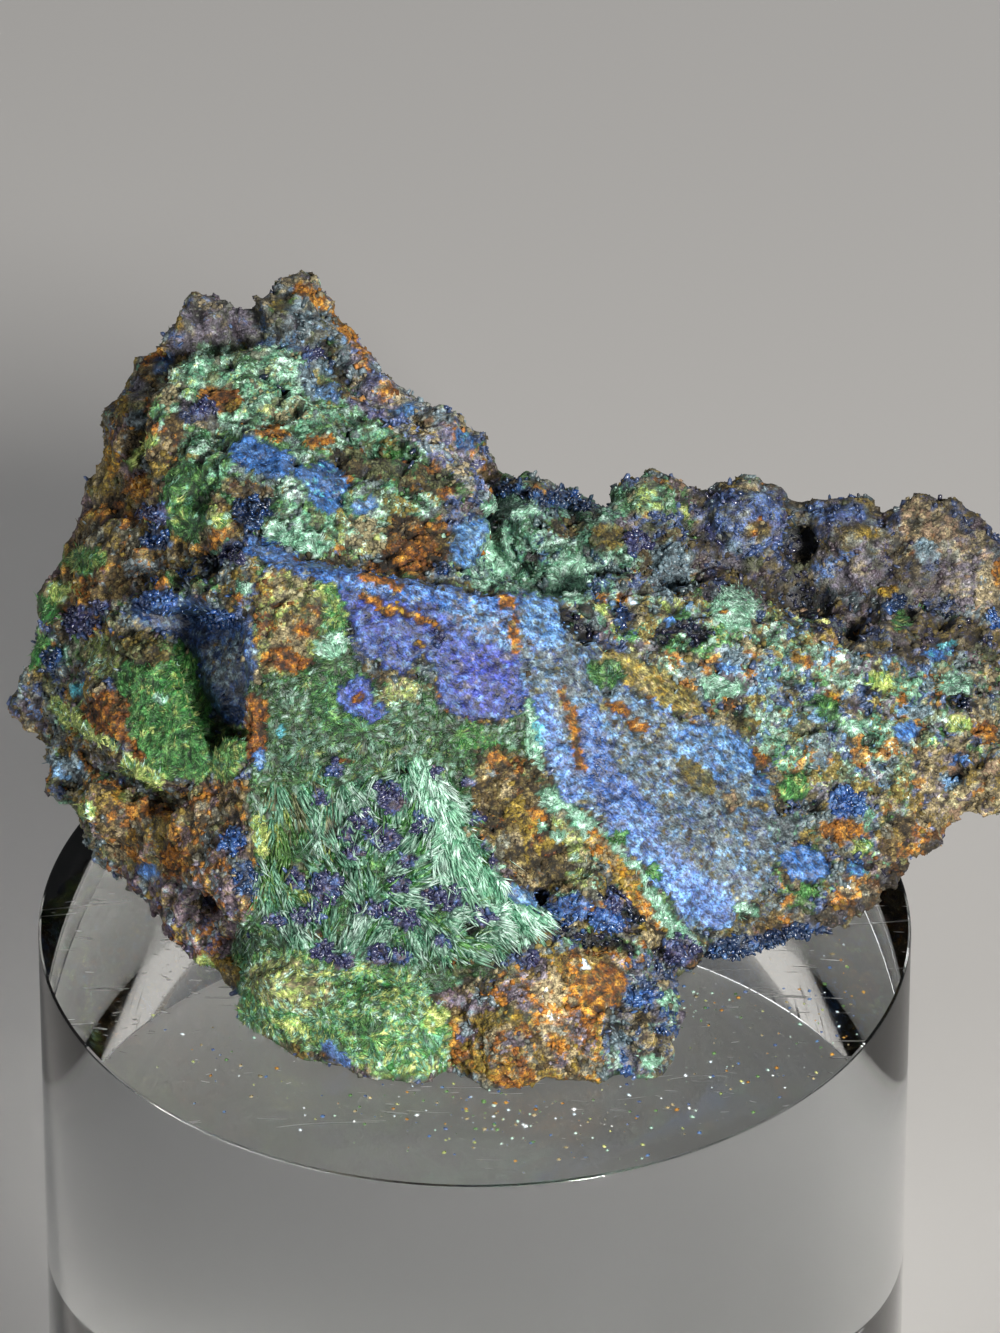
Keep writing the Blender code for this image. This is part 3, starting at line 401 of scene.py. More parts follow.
SPOTS = (
    # Summit
    ("lilac crust", 212, 300, 12, 14, 0), ("tan earth", 281, 274, 12, 6, 0),
    ("dark pit", 272, 287, 5, 4, 0), ("olive", 281, 304, 14, 8, 0), ("slate", 301, 314, 14, 9, 20),
    ("orange earth", 361, 356, 6, 7, 0), ("slate", 380, 354, 9, 10, 0),
    ("grey brown", 398, 374, 9, 10, 0), ("orange earth", 387, 389, 8, 7, 0),
    ("light sheet", 404, 409, 10, 8, 0), ("tan earth", 423, 425, 10, 8, 0),
    ("azure", 464, 443, 10, 9, 40), ("brown crust", 490, 470, 10, 12, 40),
    ("cyan", 321, 376, 7, 8, 0), ("lilac crust", 331, 397, 10, 8, 0),
    ("violet azurite", 309, 352, 9, 7, 0), ("rust earth", 149, 356, 8, 8, 0),
    ("azure", 164, 365, 8, 9, 0), ("lilac crust", 137, 390, 9, 14, 0),
    ("grey slate", 140, 420, 9, 10, 0), ("ochre earth", 121, 406, 6, 12, 0),
    ("ochre earth", 178, 324, 5, 8, 0),
    # Upper block
    ("slate", 318, 380, 17, 22, -30), ("light sheet", 334, 390, 5, 15, -30),
    ("cream crust", 172, 385, 12, 22, 15), ("violet brown crust", 200, 415, 22, 15, 20),
    ("cream crust", 200, 520, 12, 24, 10), ("orange earth", 220, 398, 22, 12, 10),
    ("ochre earth", 231, 407, 8, 5, 0), ("orange earth", 274, 431, 17, 7, 5),
    ("orange earth", 319, 442, 14, 7, 0), ("rust earth", 342, 479, 8, 8, 0),
    ("orange earth", 449, 494, 9, 6, 0), ("bright azurite", 260, 458, 34, 19, 20),
    ("bright azurite", 305, 476, 20, 10, 30), ("azure", 327, 487, 20, 25, -15),
    ("light sheet", 364, 505, 12, 7, 0), ("emerald", 394, 456, 9, 6, 0),
    ("cream crust", 363, 535, 24, 20, 10), ("rust earth", 412, 556, 18, 14, -30),
    ("orange earth", 418, 527, 15, 5, 0), ("light sheet", 472, 541, 18, 27, 10),
    ("navy", 444, 569, 8, 6, 0), ("violet azurite", 203, 408, 13, 11, 0),
    ("brown crust", 171, 430, 11, 19, 0), ("green pit", 218, 441, 6, 8, 0),
    ("green pit", 198, 460, 5, 5, 0), ("green pit", 245, 425, 5, 4, 0),
    ("green pit", 262, 372, 5, 4, 0), ("green pit", 232, 366, 5, 4, 0),
    ("green pit", 281, 392, 5, 5, 0), ("green pit", 300, 412, 6, 5, 0),
    ("dark malachite", 185, 500, 25, 42, 0), ("fresh malachite", 177, 512, 14, 12, 0),
    ("lime", 222, 522, 10, 8, 0), ("brown crust", 246, 490, 27, 9, 15),
    # Navy under the block's overhang: painted shadow.
    ("navy", 252, 507, 20, 12, 15), ("navy", 250, 521, 12, 8, 0),
    ("violet azurite", 155, 515, 14, 10, 0), ("navy", 156, 542, 12, 12, 0),
    ("dark pit", 207, 560, 12, 8, 20), ("violet azurite", 235, 556, 13, 8, 20),
    ("ochre earth", 240, 573, 8, 6, 0), ("mint", 242, 590, 7, 8, 0),
    # Left flank
    ("ochre earth", 103, 474, 15, 26, 10), ("yellow", 92, 463, 5, 9, 0),
    ("orange earth", 137, 486, 15, 11, 0), ("orange earth", 117, 506, 8, 6, 0),
    ("orange earth", 130, 518, 8, 6, 0), ("grey brown", 105, 537, 18, 14, 0),
    ("fresh malachite", 86, 561, 22, 13, 0), ("lime", 59, 592, 12, 10, 0),
    ("emerald", 49, 610, 14, 14, 0), ("emerald", 37, 652, 16, 18, 0), ("navy", 52, 660, 9, 12, 0),
    ("mint", 64, 655, 3, 12, 0), ("violet azurite", 82, 622, 18, 14, 0),
    ("violet azurite", 102, 606, 12, 9, 0), ("cream malachite", 100, 655, 20, 22, 0),
    ("lilac crust", 31, 704, 13, 11, 0), ("violet crust", 12, 725, 14, 12, 0),
    ("tan earth", 5, 742, 8, 10, 0), ("orange earth", 41, 771, 11, 8, 0),
    ("rust earth", 106, 711, 20, 22, 30), ("cyan", 79, 690, 7, 6, 0),
    ("slate", 66, 768, 20, 11, 15), ("grey brown", 102, 758, 20, 14, 20),
    ("yellow", 118, 796, 6, 8, 0), ("lime", 88, 809, 10, 10, 0), ("yellow", 131, 837, 8, 8, 0),
    ("orange earth", 204, 797, 8, 7, 0), ("rust earth", 151, 809, 15, 11, 0),
    ("rust earth", 176, 862, 16, 16, 0), ("deep azurite", 231, 840, 14, 13, 0),
    ("navy", 245, 880, 13, 20, 0), ("bright azurite", 146, 872, 10, 9, 0),
    ("lime", 200, 972, 20, 18, 20), ("ochre earth", 226, 974, 13, 15, 0),
    ("orange earth", 210, 990, 8, 6, 0), ("deep azurite", 157, 601, 23, 9, 5),
    ("deep azurite", 221, 619, 16, 9, 15), ("slate navy", 224, 664, 17, 24, 0),
    ("olive", 142, 649, 30, 17, 0), ("fresh malachite", 224, 757, 21, 23, 0),
    ("mint", 160, 700, 9, 5, 30), ("dark malachite", 186, 735, 8, 5, 30),
    ("bright azurite", 258, 760, 6, 7, 0), ("cyan", 280, 732, 5, 5, 0),
    # Front
    ("rust glaze", 506, 601, 9, 8, 0), ("rust earth", 288, 660, 27, 11, 5),
    ("rust earth", 303, 628, 8, 8, 0), ("ochre earth", 419, 644, 6, 4, 0),
    ("violet azurite", 440, 640, 7, 6, 0), ("mint", 333, 646, 15, 12, -20),
    ("dark malachite", 346, 700, 37, 34, 0), ("violet sheet", 484, 680, 32, 34, 30),
    ("azurite", 364, 698, 24, 21, 25), ("orange earth", 358, 696, 7, 4, 0),
    ("cream malachite", 399, 694, 25, 12, 0), ("emerald", 474, 740, 24, 13, 10),
    ("rust earth", 348, 760, 5, 4, 0), ("green pit", 403, 770, 7, 4, 0),
    ("violet azurite", 436, 768, 8, 6, 0), ("violet azurite", 468, 781, 8, 6, 0),
    ("lime", 262, 836, 10, 22, 0), ("light sheet", 520, 896, 19, 10, 40),
    ("brown earth", 473, 834, 5, 8, 20), ("dark crust", 472, 968, 26, 11, 5),
    ("violet crust", 462, 999, 33, 12, 5), ("green pit", 471, 929, 12, 7, 0),
    ("cream malachite", 290, 985, 46, 26, 15), ("lime", 291, 1027, 18, 10, 15),
    ("lime", 436, 1018, 13, 12, 0), ("dark malachite", 364, 1026, 19, 11, 0),
    ("emerald", 382, 1041, 12, 7, 0), ("violet azurite", 385, 838, 17, 14, 0),
    ("violet azurite", 336, 771, 9, 9, 0), ("violet azurite", 391, 797, 18, 17, 0),
    ("violet azurite", 364, 819, 11, 9, 0), ("violet azurite", 347, 834, 11, 9, 0),
    ("violet azurite", 354, 855, 9, 8, 0), ("violet azurite", 421, 823, 9, 9, 0),
    ("violet azurite", 293, 877, 11, 9, 0), ("violet azurite", 328, 884, 17, 14, 0),
    ("violet azurite", 323, 902, 11, 9, 0), ("violet azurite", 273, 918, 9, 9, 0),
    ("violet azurite", 313, 913, 11, 9, 0), ("violet azurite", 297, 915, 9, 8, 0),
    ("violet azurite", 378, 912, 13, 11, 0), ("violet azurite", 404, 916, 13, 11, 0),
    ("violet azurite", 399, 888, 13, 9, 0), ("violet azurite", 432, 899, 11, 11, 0),
    ("violet azurite", 453, 901, 11, 11, 0), ("violet azurite", 486, 916, 14, 11, 0),
    ("violet azurite", 380, 955, 14, 11, 0), ("violet azurite", 325, 951, 11, 9, 0),
    ("violet azurite", 345, 960, 9, 9, 0), ("violet azurite", 399, 955, 11, 9, 0),
    ("violet azurite", 531, 960, 11, 8, 0), ("violet azurite", 322, 797, 8, 9, 0),
    ("violet azurite", 480, 818, 8, 6, 0), ("violet azurite", 494, 864, 7, 6, 0),
    ("violet azurite", 358, 906, 8, 6, 0), ("dark malachite", 375, 870, 12, 9, 0),
    ("dark malachite", 345, 905, 10, 8, 0), ("dark malachite", 300, 850, 8, 18, 20),
    ("dark malachite", 440, 915, 10, 6, 0), ("dark crust", 340, 930, 12, 8, 0),
    ("dark crust", 312, 935, 10, 6, 0), ("violet azurite", 410, 864, 9, 9, 0),
    ("violet azurite", 439, 940, 9, 8, 0),
    # Recess, knobs and lower lobes
    ("brown crust", 503, 768, 16, 14, 0), ("orange earth", 538, 815, 11, 9, 0),
    ("mint", 557, 834, 8, 7, 0), ("mint", 545, 822, 6, 5, 0),
    ("cream malachite", 582, 853, 11, 9, 0), ("cream malachite", 580, 878, 11, 7, 0),
    ("slate", 611, 690, 8, 5, 30), ("emerald", 619, 838, 9, 7, 40), ("emerald", 654, 872, 9, 7, 40),
    ("deep azurite", 567, 908, 23, 15, 5), ("mint", 562, 897, 9, 4, 0),
    ("deep azurite", 609, 920, 15, 13, 0), ("violet azurite", 616, 902, 10, 8, 0),
    ("brown earth", 652, 938, 14, 14, 0), ("violet azurite", 681, 952, 16, 17, 30),
    ("rust glaze", 604, 984, 22, 22, 30), ("dark pit", 620, 1005, 7, 7, 0),
    ("pale earth", 547, 996, 20, 14, 0), ("pale earth", 557, 1015, 13, 10, 0),
    ("ochre earth", 500, 1017, 28, 11, -10), ("orange earth", 512, 1074, 22, 15, 0),
    ("lilac crust", 518, 1042, 15, 7, 0), ("violet crust", 467, 1030, 12, 10, 0),
    ("deep azurite", 641, 998, 14, 9, 0), ("mint", 668, 998, 8, 8, 0),
    ("tan earth", 661, 984, 6, 5, 0), ("brown earth", 643, 1018, 12, 8, 0),
    ("slate", 622, 1037, 10, 9, 0), ("tan earth", 652, 1038, 9, 9, 0),
    ("lilac crust", 684, 1015, 6, 12, 0), ("mint", 652, 1063, 9, 7, 0),
    ("deep azurite", 626, 1072, 8, 6, 0),
    # Sheet of azurite
    ("light sheet", 541, 622, 19, 32, -25), ("cyan", 538, 735, 4, 12, -10),
    ("lavender sheet", 572, 789, 12, 11, 0), ("light sheet", 714, 752, 42, 26, 25),
    ("light sheet", 668, 703, 15, 11, 0), ("azure", 761, 785, 12, 9, 0),
    ("gold earth", 650, 683, 57, 15, 29), ("dark malachite", 607, 674, 19, 13, 0),
    ("orange earth", 618, 707, 12, 7, 20), ("orange earth", 637, 726, 11, 7, 20),
    ("olive gold", 699, 777, 29, 15, 50), ("tan earth", 732, 802, 8, 11, 0),
    ("tan earth", 761, 803, 8, 6, 0), ("olive", 748, 727, 13, 11, 0), ("yellow", 735, 682, 7, 6, 0),
    ("mint", 720, 688, 21, 13, 10), ("slate", 735, 655, 12, 9, 0),
    ("bright azurite", 727, 666, 9, 5, 0), ("rust earth", 728, 707, 10, 5, 0),
    ("rust earth", 761, 756, 12, 6, 10),
    # Saddle and right arm
    ("mint", 511, 509, 30, 10, 5), ("mint", 499, 556, 19, 26, 0), ("mint", 569, 575, 21, 18, 0),
    ("green pit", 534, 558, 8, 8, 0), ("dark crust", 564, 527, 20, 11, 0),
    ("olive", 609, 537, 19, 18, 0), ("violet azurite", 637, 543, 13, 13, 0),
    ("lilac crust", 625, 521, 10, 8, 0), ("mint crust", 645, 498, 34, 14, 0),
    ("tan earth", 687, 478, 14, 6, 0), ("lime", 681, 509, 6, 6, 0), ("slate", 670, 570, 20, 32, 0),
    ("dark pit", 572, 620, 10, 16, -20), ("dark pit", 586, 634, 9, 12, 20),
    ("grey slate", 596, 622, 11, 11, 0), ("lime", 602, 609, 6, 5, 0),
    ("orange earth", 599, 598, 8, 5, 0), ("orange earth", 622, 600, 8, 5, 0),
    ("white", 633, 602, 4, 3, 0), ("navy", 623, 618, 8, 10, 0), ("lilac crust", 645, 644, 8, 6, 0),
    ("dark pit", 663, 634, 12, 10, 20), ("dark pit", 684, 626, 13, 9, 10),
    ("dark pit", 701, 636, 13, 12, -20), ("dark malachite", 678, 644, 9, 6, 0),
    ("bright azurite", 668, 621, 6, 5, 0), ("mint", 735, 608, 24, 22, 0),
    ("orange earth", 727, 611, 5, 4, 0), ("lobe azurite", 745, 521, 44, 35, 10),
    ("brown earth", 759, 529, 14, 11, 0), ("tan earth", 746, 487, 14, 6, 0),
    ("dark pit", 800, 543, 11, 15, 0), ("lobe azurite", 838, 512, 32, 9, 5),
    ("grey brown", 861, 538, 29, 15, 5), ("ochre earth", 866, 533, 14, 6, 5),
    ("lilac crust", 848, 573, 35, 20, 5), ("dark pit", 810, 601, 22, 18, 10),
    ("slate", 925, 551, 15, 11, 0), ("brown earth", 906, 552, 11, 5, 0),
    ("orange earth", 1000, 572, 7, 14, 0), ("deep azurite", 996, 621, 9, 10, 0),
    ("navy", 891, 602, 10, 9, 0), ("ochre earth", 886, 590, 8, 5, 0),
    ("dark pit", 851, 634, 9, 7, 0), ("dark pit", 947, 616, 9, 7, 0),
    ("tan earth", 829, 637, 16, 7, 0), ("yellow", 798, 657, 8, 7, 0),
    ("orange earth", 809, 665, 7, 6, 0), ("emerald", 898, 621, 10, 9, 0),
    ("azure", 940, 655, 13, 10, 0), ("cyan", 947, 644, 10, 3, 0), ("lime", 879, 680, 15, 10, 0),
    ("dark pit", 867, 692, 9, 4, 0), ("orange earth", 902, 700, 8, 6, 0),
    ("orange earth", 832, 697, 8, 6, 0), ("slate", 916, 712, 15, 10, 0),
    ("bright azurite", 904, 730, 13, 9, 0), ("lilac crust", 851, 706, 9, 8, 0),
    ("dark malachite", 826, 709, 11, 10, 0), ("mint", 853, 727, 12, 9, 0),
    ("mint", 955, 686, 16, 13, 0), ("dark pit", 960, 704, 15, 8, 0), ("lime", 961, 723, 13, 7, 0),
    ("orange earth", 985, 732, 12, 11, 0), ("bright azurite", 960, 758, 9, 5, 0),
    ("slate", 951, 779, 13, 9, 0), ("emerald", 793, 786, 15, 14, 0),
    ("dark pit", 816, 804, 8, 7, 0), ("deep azurite", 845, 802, 18, 15, 0),
    ("orange earth", 842, 830, 22, 12, 5), ("grey slate", 788, 831, 18, 15, 0),
    ("orange earth", 910, 827, 6, 5, 0), ("brown crust", 905, 839, 26, 22, -30),
    ("bright azurite", 806, 865, 24, 18, 0), ("azure", 856, 866, 11, 8, 0),
    ("lime", 863, 848, 9, 6, 0), ("pale earth", 845, 894, 18, 9, -20),
    ("orange earth", 840, 908, 9, 5, -20), ("tan earth", 866, 888, 11, 6, -20),
    ("emerald", 809, 893, 12, 7, 0), ("mint", 745, 911, 11, 7, 0),
    ("brown crust", 778, 922, 30, 10, -15),
)

TONE_NAMES = list(TONES)
MIX_NAMES = list(MIXES)

# How a crust is built. The first three kinds are earthy, and their minerals lie in clusters.

KINDS = ("crust", "worn", "earth", "sheet", "druse", "velvet", "spray", "pit")

# Roots of the malachite sprays: the middle of each spray and the point its fibres grow from

SPRAYS = (
    ((300, 810), (272, 735)),
    ((345, 880), (372, 930)),
    ((350, 800), (330, 745)),
    ((395, 860), (352, 905)),
    ((410, 900), (360, 885)),
    ((285, 845), (262, 735)),
    ((440, 790), (408, 715)),
    ((468, 842), (400, 742)),
    ((500, 880), (410, 770)),
    ((530, 915), (430, 800)),
    ((500, 930), (440, 900)),
    ((380, 780), (400, 730)),
    ((290, 900), (270, 860)),
    ((430, 930), (395, 900)),
    ((470, 950), (430, 940)),
    ((350, 940), (330, 985)),
    ((300, 960), (320, 1010)),
)

# Lobes and clefts of the far crusts: pixel, reach in mm, and height in mm. Clefts also darken the
# colour as painted shade, and lobes lighten it as painted highlight.

LOBES = (
    (745, 521, 4.4, 1.1), (845, 518, 3.6, 0.8), (862, 560, 3.6, 0.7), (932, 528, 3.4, 0.8),
    (968, 590, 3.4, 0.7), (672, 570, 3.0, 0.8), (642, 505, 3.2, 0.8), (905, 575, 2.6, 0.5),
    (798, 545, 2.2, -1.5), (786, 592, 2.6, -1.3), (815, 607, 2.2, -1.2), (905, 607, 2.2, -1.0),
    (938, 622, 2.0, -1.0), (706, 530, 1.8, -0.9), (850, 640, 1.8, -0.9), (960, 700, 2.0, -1.2),
    (812, 800, 1.8, -1.0), (440, 470, 2.2, -0.9), (352, 425, 2.0, -0.8), (250, 500, 2.4, -1.0),
)

# Places where the outline is moved: pixel, reach in mm, and mm to the right and up

TRIMS = (
    (350, 292, 4.2, -1.9, -1.4),
    (188, 315, 3.2, -0.7, 1.5),
    (244, 316, 2.6, 0.0, 1.5),
)

PIXELS_PER_MM = FOCAL_PIXELS / VIEW_DISTANCE * MM

# Sizes in mm of malachite tufts, of clusters and single grains in a crust, and of streaks along
# the fibres. The finest real grains are about 0.05 mm, and are drawn this coarse to show.

TUFT_SIZE = 2.6
LARGE_GRAIN = 2.8
SMALL_GRAIN = 0.42
STREAK = 0.35

# How far in pixels the crusts wander from their places, where they are seen and where they aren't

SEEN_WANDER = 7.0
HIDDEN_WANDER = 72.0

# How far the tones of one crust are drawn together, by kind

MUTING = {"crust": 0.15, "worn": 0.18, "earth": 0.08, "sheet": 0.05, "velvet": 0.05}

# Run of the grain on the sheets of azurite, to the right and up, and how far it is drawn out

SHEET_GRAIN = (0.72, -0.69)
SHEET_STRETCH = 0.35

# Pieces of the stone's surface: the front share is fine, and overlaps the back by the seam in mm

FRONT_SHARE = 0.55
SEAM = 0.3
ROCK_PIECES = ("rock_front_left", "rock_front_right", "rock_back")

# Foot of the stone, in mm: how high it reaches, how far it comes down, and its least gap to the
# stand. Its relief is pressed flat to a share of the rest's.

FOOT_HEIGHT = 0.5
FOOT_DROP = 0.3
FOOT_GAP = 0.02
FOOT_RELIEF = 0.2

# Most triangles in each kind of grown mineral, and how thickly they stand on hidden sides

CRYSTAL_TRIANGLES = 186000
FIBRE_TRIANGLES = 190000
GRAIN_TRIANGLES = 176000
HIDDEN_DENSITY = 0.35

# Grown crystals and fibres are glossier than the crust they stand on

CRYSTAL_DULLNESS = 0.7
FIBRE_DULLNESS = 0.85

AZURITE_TONES = (
    "azurite", "bright azurite", "deep azurite", "light azurite", "violet azurite", "azure",
    "navy", "slate", "lavender", "cyan",
)
MALACHITE_TONES = ("malachite", "dark malachite", "emerald", "sea green", "mint", "lime")

# A small closed shape of eight triangles, for grains and crumbs

OCTAHEDRON = (
    [(1, 0, 0), (-1, 0, 0), (0, 1, 0), (0, -1, 0), (0, 0, 1), (0, 0, -1)],
    [(0, 2, 4), (2, 1, 4), (1, 3, 4), (3, 0, 4), (2, 0, 5), (1, 2, 5), (3, 1, 5), (0, 3, 5)],
)

# Noise on arrays of points


def hashed(cells, seed):
    """Numbers from 0 to 1, one for each whole-number cell."""
    keys = cells.astype(np.int64).astype(np.uint32)
    mixed = keys[..., 0] * np.uint32(73856093)
    mixed ^= keys[..., 1] * np.uint32(19349663)
    mixed ^= keys[..., 2] * np.uint32(83492791)
    mixed ^= np.uint32(seed * 2654435761 % 4294967296)
    mixed ^= mixed >> np.uint32(16)
    mixed *= np.uint32(2146121005)
    mixed ^= mixed >> np.uint32(15)
    mixed *= np.uint32(2221713035)
    mixed ^= mixed >> np.uint32(16)
    return mixed.astype(np.float64) / 4294967296


def waves(points, size, seed):
    """Smooth noise from -1 to 1 with lumps of the given size."""
    scaled = points / size
    base = np.floor(scaled)
    part = scaled - base
    part = part * part * (3 - 2 * part)
    total = np.zeros(len(points))
    for corner in itertools.product((0, 1), repeat=3):
        sides = np.where(np.array(corner) == 1, part, 1 - part)
        total += sides.prod(axis=1) * hashed(base + corner, seed)
    return 2 * total - 1


def rough_waves(points, size, seed, octaves=3):
    """Noise with finer lumps added to the large ones."""
    total = np.zeros(len(points))
    for octave in range(octaves):
        total += waves(points, size / 2**octave, seed + octave) / 2**octave
    return total / (2 - 2.0 ** (1 - octaves))


def grains(points, size, seed):
    """Distance to the nearest grain centre in grain sizes, that centre, and a number of its own."""
    scaled = points / size
    base = np.floor(scaled)
    nearest = np.full(len(points), 9.0)
    centres = np.zeros((len(points), 3))
    own = np.zeros(len(points))
    for step in itertools.product((-1, 0, 1), repeat=3):
        cell = base + step
        centre = cell + np.stack([hashed(cell, seed + k) for k in range(3)], axis=1)
        apart = np.linalg.norm(scaled - centre, axis=1)
        closer = apart < nearest
        nearest = np.where(closer, apart, nearest)
        centres[closer] = centre[closer]
        own[closer] = hashed(cell[closer], seed + 5)
    return nearest, centres * size, own


# Meshes and nodes


def mesh_object(name, vertices, faces):
    """A new object from arrays of points in metres and of triangles."""
    mesh = bpy.data.meshes.new(name)
    mesh.vertices.add(len(vertices))
    mesh.vertices.foreach_set("co", np.ascontiguousarray(vertices, np.float32).ravel())
    mesh.loops.add(3 * len(faces))
    mesh.loops.foreach_set("vertex_index", np.ascontiguousarray(faces, np.int32).ravel())
    mesh.polygons.add(len(faces))
    mesh.polygons.foreach_set("loop_start", np.arange(0, 3 * len(faces), 3, dtype=np.int32))
    mesh.update(calc_edges=True)
    made = bpy.data.objects.new(name, mesh)
    bpy.context.scene.collection.objects.link(made)
    return made


def points_of(mesh):
    """The vertices of a mesh as an array."""
    flat = np.empty(3 * len(mesh.vertices), np.float32)
    mesh.vertices.foreach_get("co", flat)
    return flat.reshape(-1, 3).astype(np.float64)


def normals_of(mesh):
    """The vertex normals of a mesh as an array."""
    flat = np.empty(3 * len(mesh.vertices), np.float32)
    mesh.vertex_normals.foreach_get("vector", flat)
    return flat.reshape(-1, 3).astype(np.float64)


def triangles_of(mesh):
    """The triangles of a mesh as an array of vertex numbers."""
    mesh.calc_loop_triangles()
    flat = np.empty(3 * len(mesh.loop_triangles), np.int32)
    mesh.loop_triangles.foreach_get("vertices", flat)
    return flat.reshape(-1, 3)


def apply_modifiers(obj):
    """Puts the outcome of all modifiers of an object into its mesh."""
    graph = bpy.context.evaluated_depsgraph_get()
    outcome = bpy.data.meshes.new_from_object(obj.evaluated_get(graph))
    obj.modifiers.clear()
    obj.data = outcome
    return outcome


def add_node(tree, kind, links=None, **settings):
    """A shader node with its settings, and its inputs set to values or linked to outputs."""
    node = tree.nodes.new(kind)
    for name, value in settings.items():
        setattr(node, name, value)
    for socket, value in (links or {}).items():
        if isinstance(value, bpy.types.NodeSocket):
            tree.links.new(value, node.inputs[socket])
        else:
            node.inputs[socket].default_value = value
    return node


def new_material(name):
    """An empty node material and its node tree."""
    made = bpy.data.materials.new(name)
    made.use_nodes = True
    made.node_tree.nodes.clear()
    return made, made.node_tree


# Minerals over the surface


def srgb(code):
    """Linear red, green and blue of an sRGB hex colour."""
    parts = (int(code[k : k + 2], 16) / 255 for k in (1, 3, 5))
    return tuple(c / 12.92 if c <= 0.04045 else ((c + 0.055) / 1.055) ** 2.4 for c in parts)


PALETTE = np.array([[srgb(code) for code in TONES[name][:3]] for name in TONE_NAMES])
DULLNESS = np.array([TONES[name][3] for name in TONE_NAMES])
KIND_OF_MIX = np.array([KINDS.index(MIXES[name][0]) for name in MIX_NAMES])
SHADE_OF_MIX = np.array([MIXES[name][1] for name in MIX_NAMES])
MUTING_OF_MIX = np.array([MUTING.get(MIXES[name][0], 0.0) for name in MIX_NAMES])
MOST_TONES = max(len(tones) for _, _, tones in MIXES.values())
TONE_LIMITS = np.ones((len(MIX_NAMES), MOST_TONES))
TONE_CHOICES = np.zeros((len(MIX_NAMES), MOST_TONES), np.int64)
COLOUR_OF_MIX = np.zeros((len(MIX_NAMES), 3))
for mix_number, (_, _, tones) in enumerate(MIXES.values()):
    weights = np.array(list(tones.values()), float)
    TONE_LIMITS[mix_number, : len(tones)] = np.cumsum(weights) / weights.sum()
    TONE_CHOICES[mix_number] = TONE_NAMES.index(list(tones)[-1])
    TONE_CHOICES[mix_number, : len(tones)] = [TONE_NAMES.index(tone) for tone in tones]
    COLOUR_OF_MIX[mix_number] = weights @ PALETTE[TONE_CHOICES[mix_number, : len(tones)], 1]
    COLOUR_OF_MIX[mix_number] /= weights.sum()


def in_outline(pixels, corners):
    """Whether each pixel position lies inside an outline."""
    inside = np.zeros(len(pixels), bool)
    column, row = pixels.T
    for (x1, y1), (x2, y2) in zip(corners, corners[1:] + corners[:1]):
        if y1 == y2:
            continue
        crosses = (y1 > row) != (y2 > row)
        inside ^= crosses & (column < x1 + (row - y1) * (x2 - x1) / (y2 - y1))
    return inside


def near_line(pixels, half_width, line):
    """Whether each pixel position lies within a half width of a line."""
    near = np.zeros(len(pixels), bool)
    for start, end in zip(line, line[1:]):
        start = np.array(start, float)
        run = np.array(end, float) - start
        share = np.clip((pixels - start) @ run / (run @ run), 0, 1)
        apart = pixels - start - share[:, None] * run
        near |= (apart**2).sum(axis=1) < half_width**2
    return near


def in_oval(pixels, column, row, half_width, half_height, turn):
    """Whether each pixel position lies inside an oval."""
    angle = math.radians(turn)
    across = pixels[:, 0] - column
    down = pixels[:, 1] - row
    along = across * math.cos(angle) + down * math.sin(angle)
    beside = down * math.cos(angle) - across * math.sin(angle)
    return (along / half_width) ** 2 + (beside / half_height) ** 2 < 1


def mix_at(pixels):
    """The number of the crust at each pixel position."""
    found = np.full(len(pixels), MIX_NAMES.index("mixed crust"))
    for name, corners in FIELDS:
        found[in_outline(pixels, corners)] = MIX_NAMES.index(name)
    for name, half_width, line in BANDS:
        found[near_line(pixels, half_width, line)] = MIX_NAMES.index(name)
    for name, *oval in SPOTS:
        found[in_oval(pixels, *oval)] = MIX_NAMES.index(name)
    return found


def hidden_from_front(points):
    """1 where the stone stands between a point and the camera, else 0."""
    node = frame["nodes"]["specimen"].data
    tree = BVHTree.FromPolygons(
        [tuple(p) for p in points_of(node)], [tuple(t) for t in triangles_of(node)]
    )
    origin = Vector(CAMERA_POINT)
    hidden = np.zeros(len(points))
    for index, point in enumerate(points):
        towards = Vector(point) - origin
        length = towards.length
        hit = tree.ray_cast(origin, towards / length, length - 1.6 * MM)
        hidden[index] = hit[0] is not None
    return hidden


def tone_in(mix, chance):
    """The tone that a number from 0 to 1 picks from each mix."""
    slot = (chance[:, None] > TONE_LIMITS[mix]).sum(axis=1)
    return TONE_CHOICES[mix, np.minimum(slot, MOST_TONES - 1)]


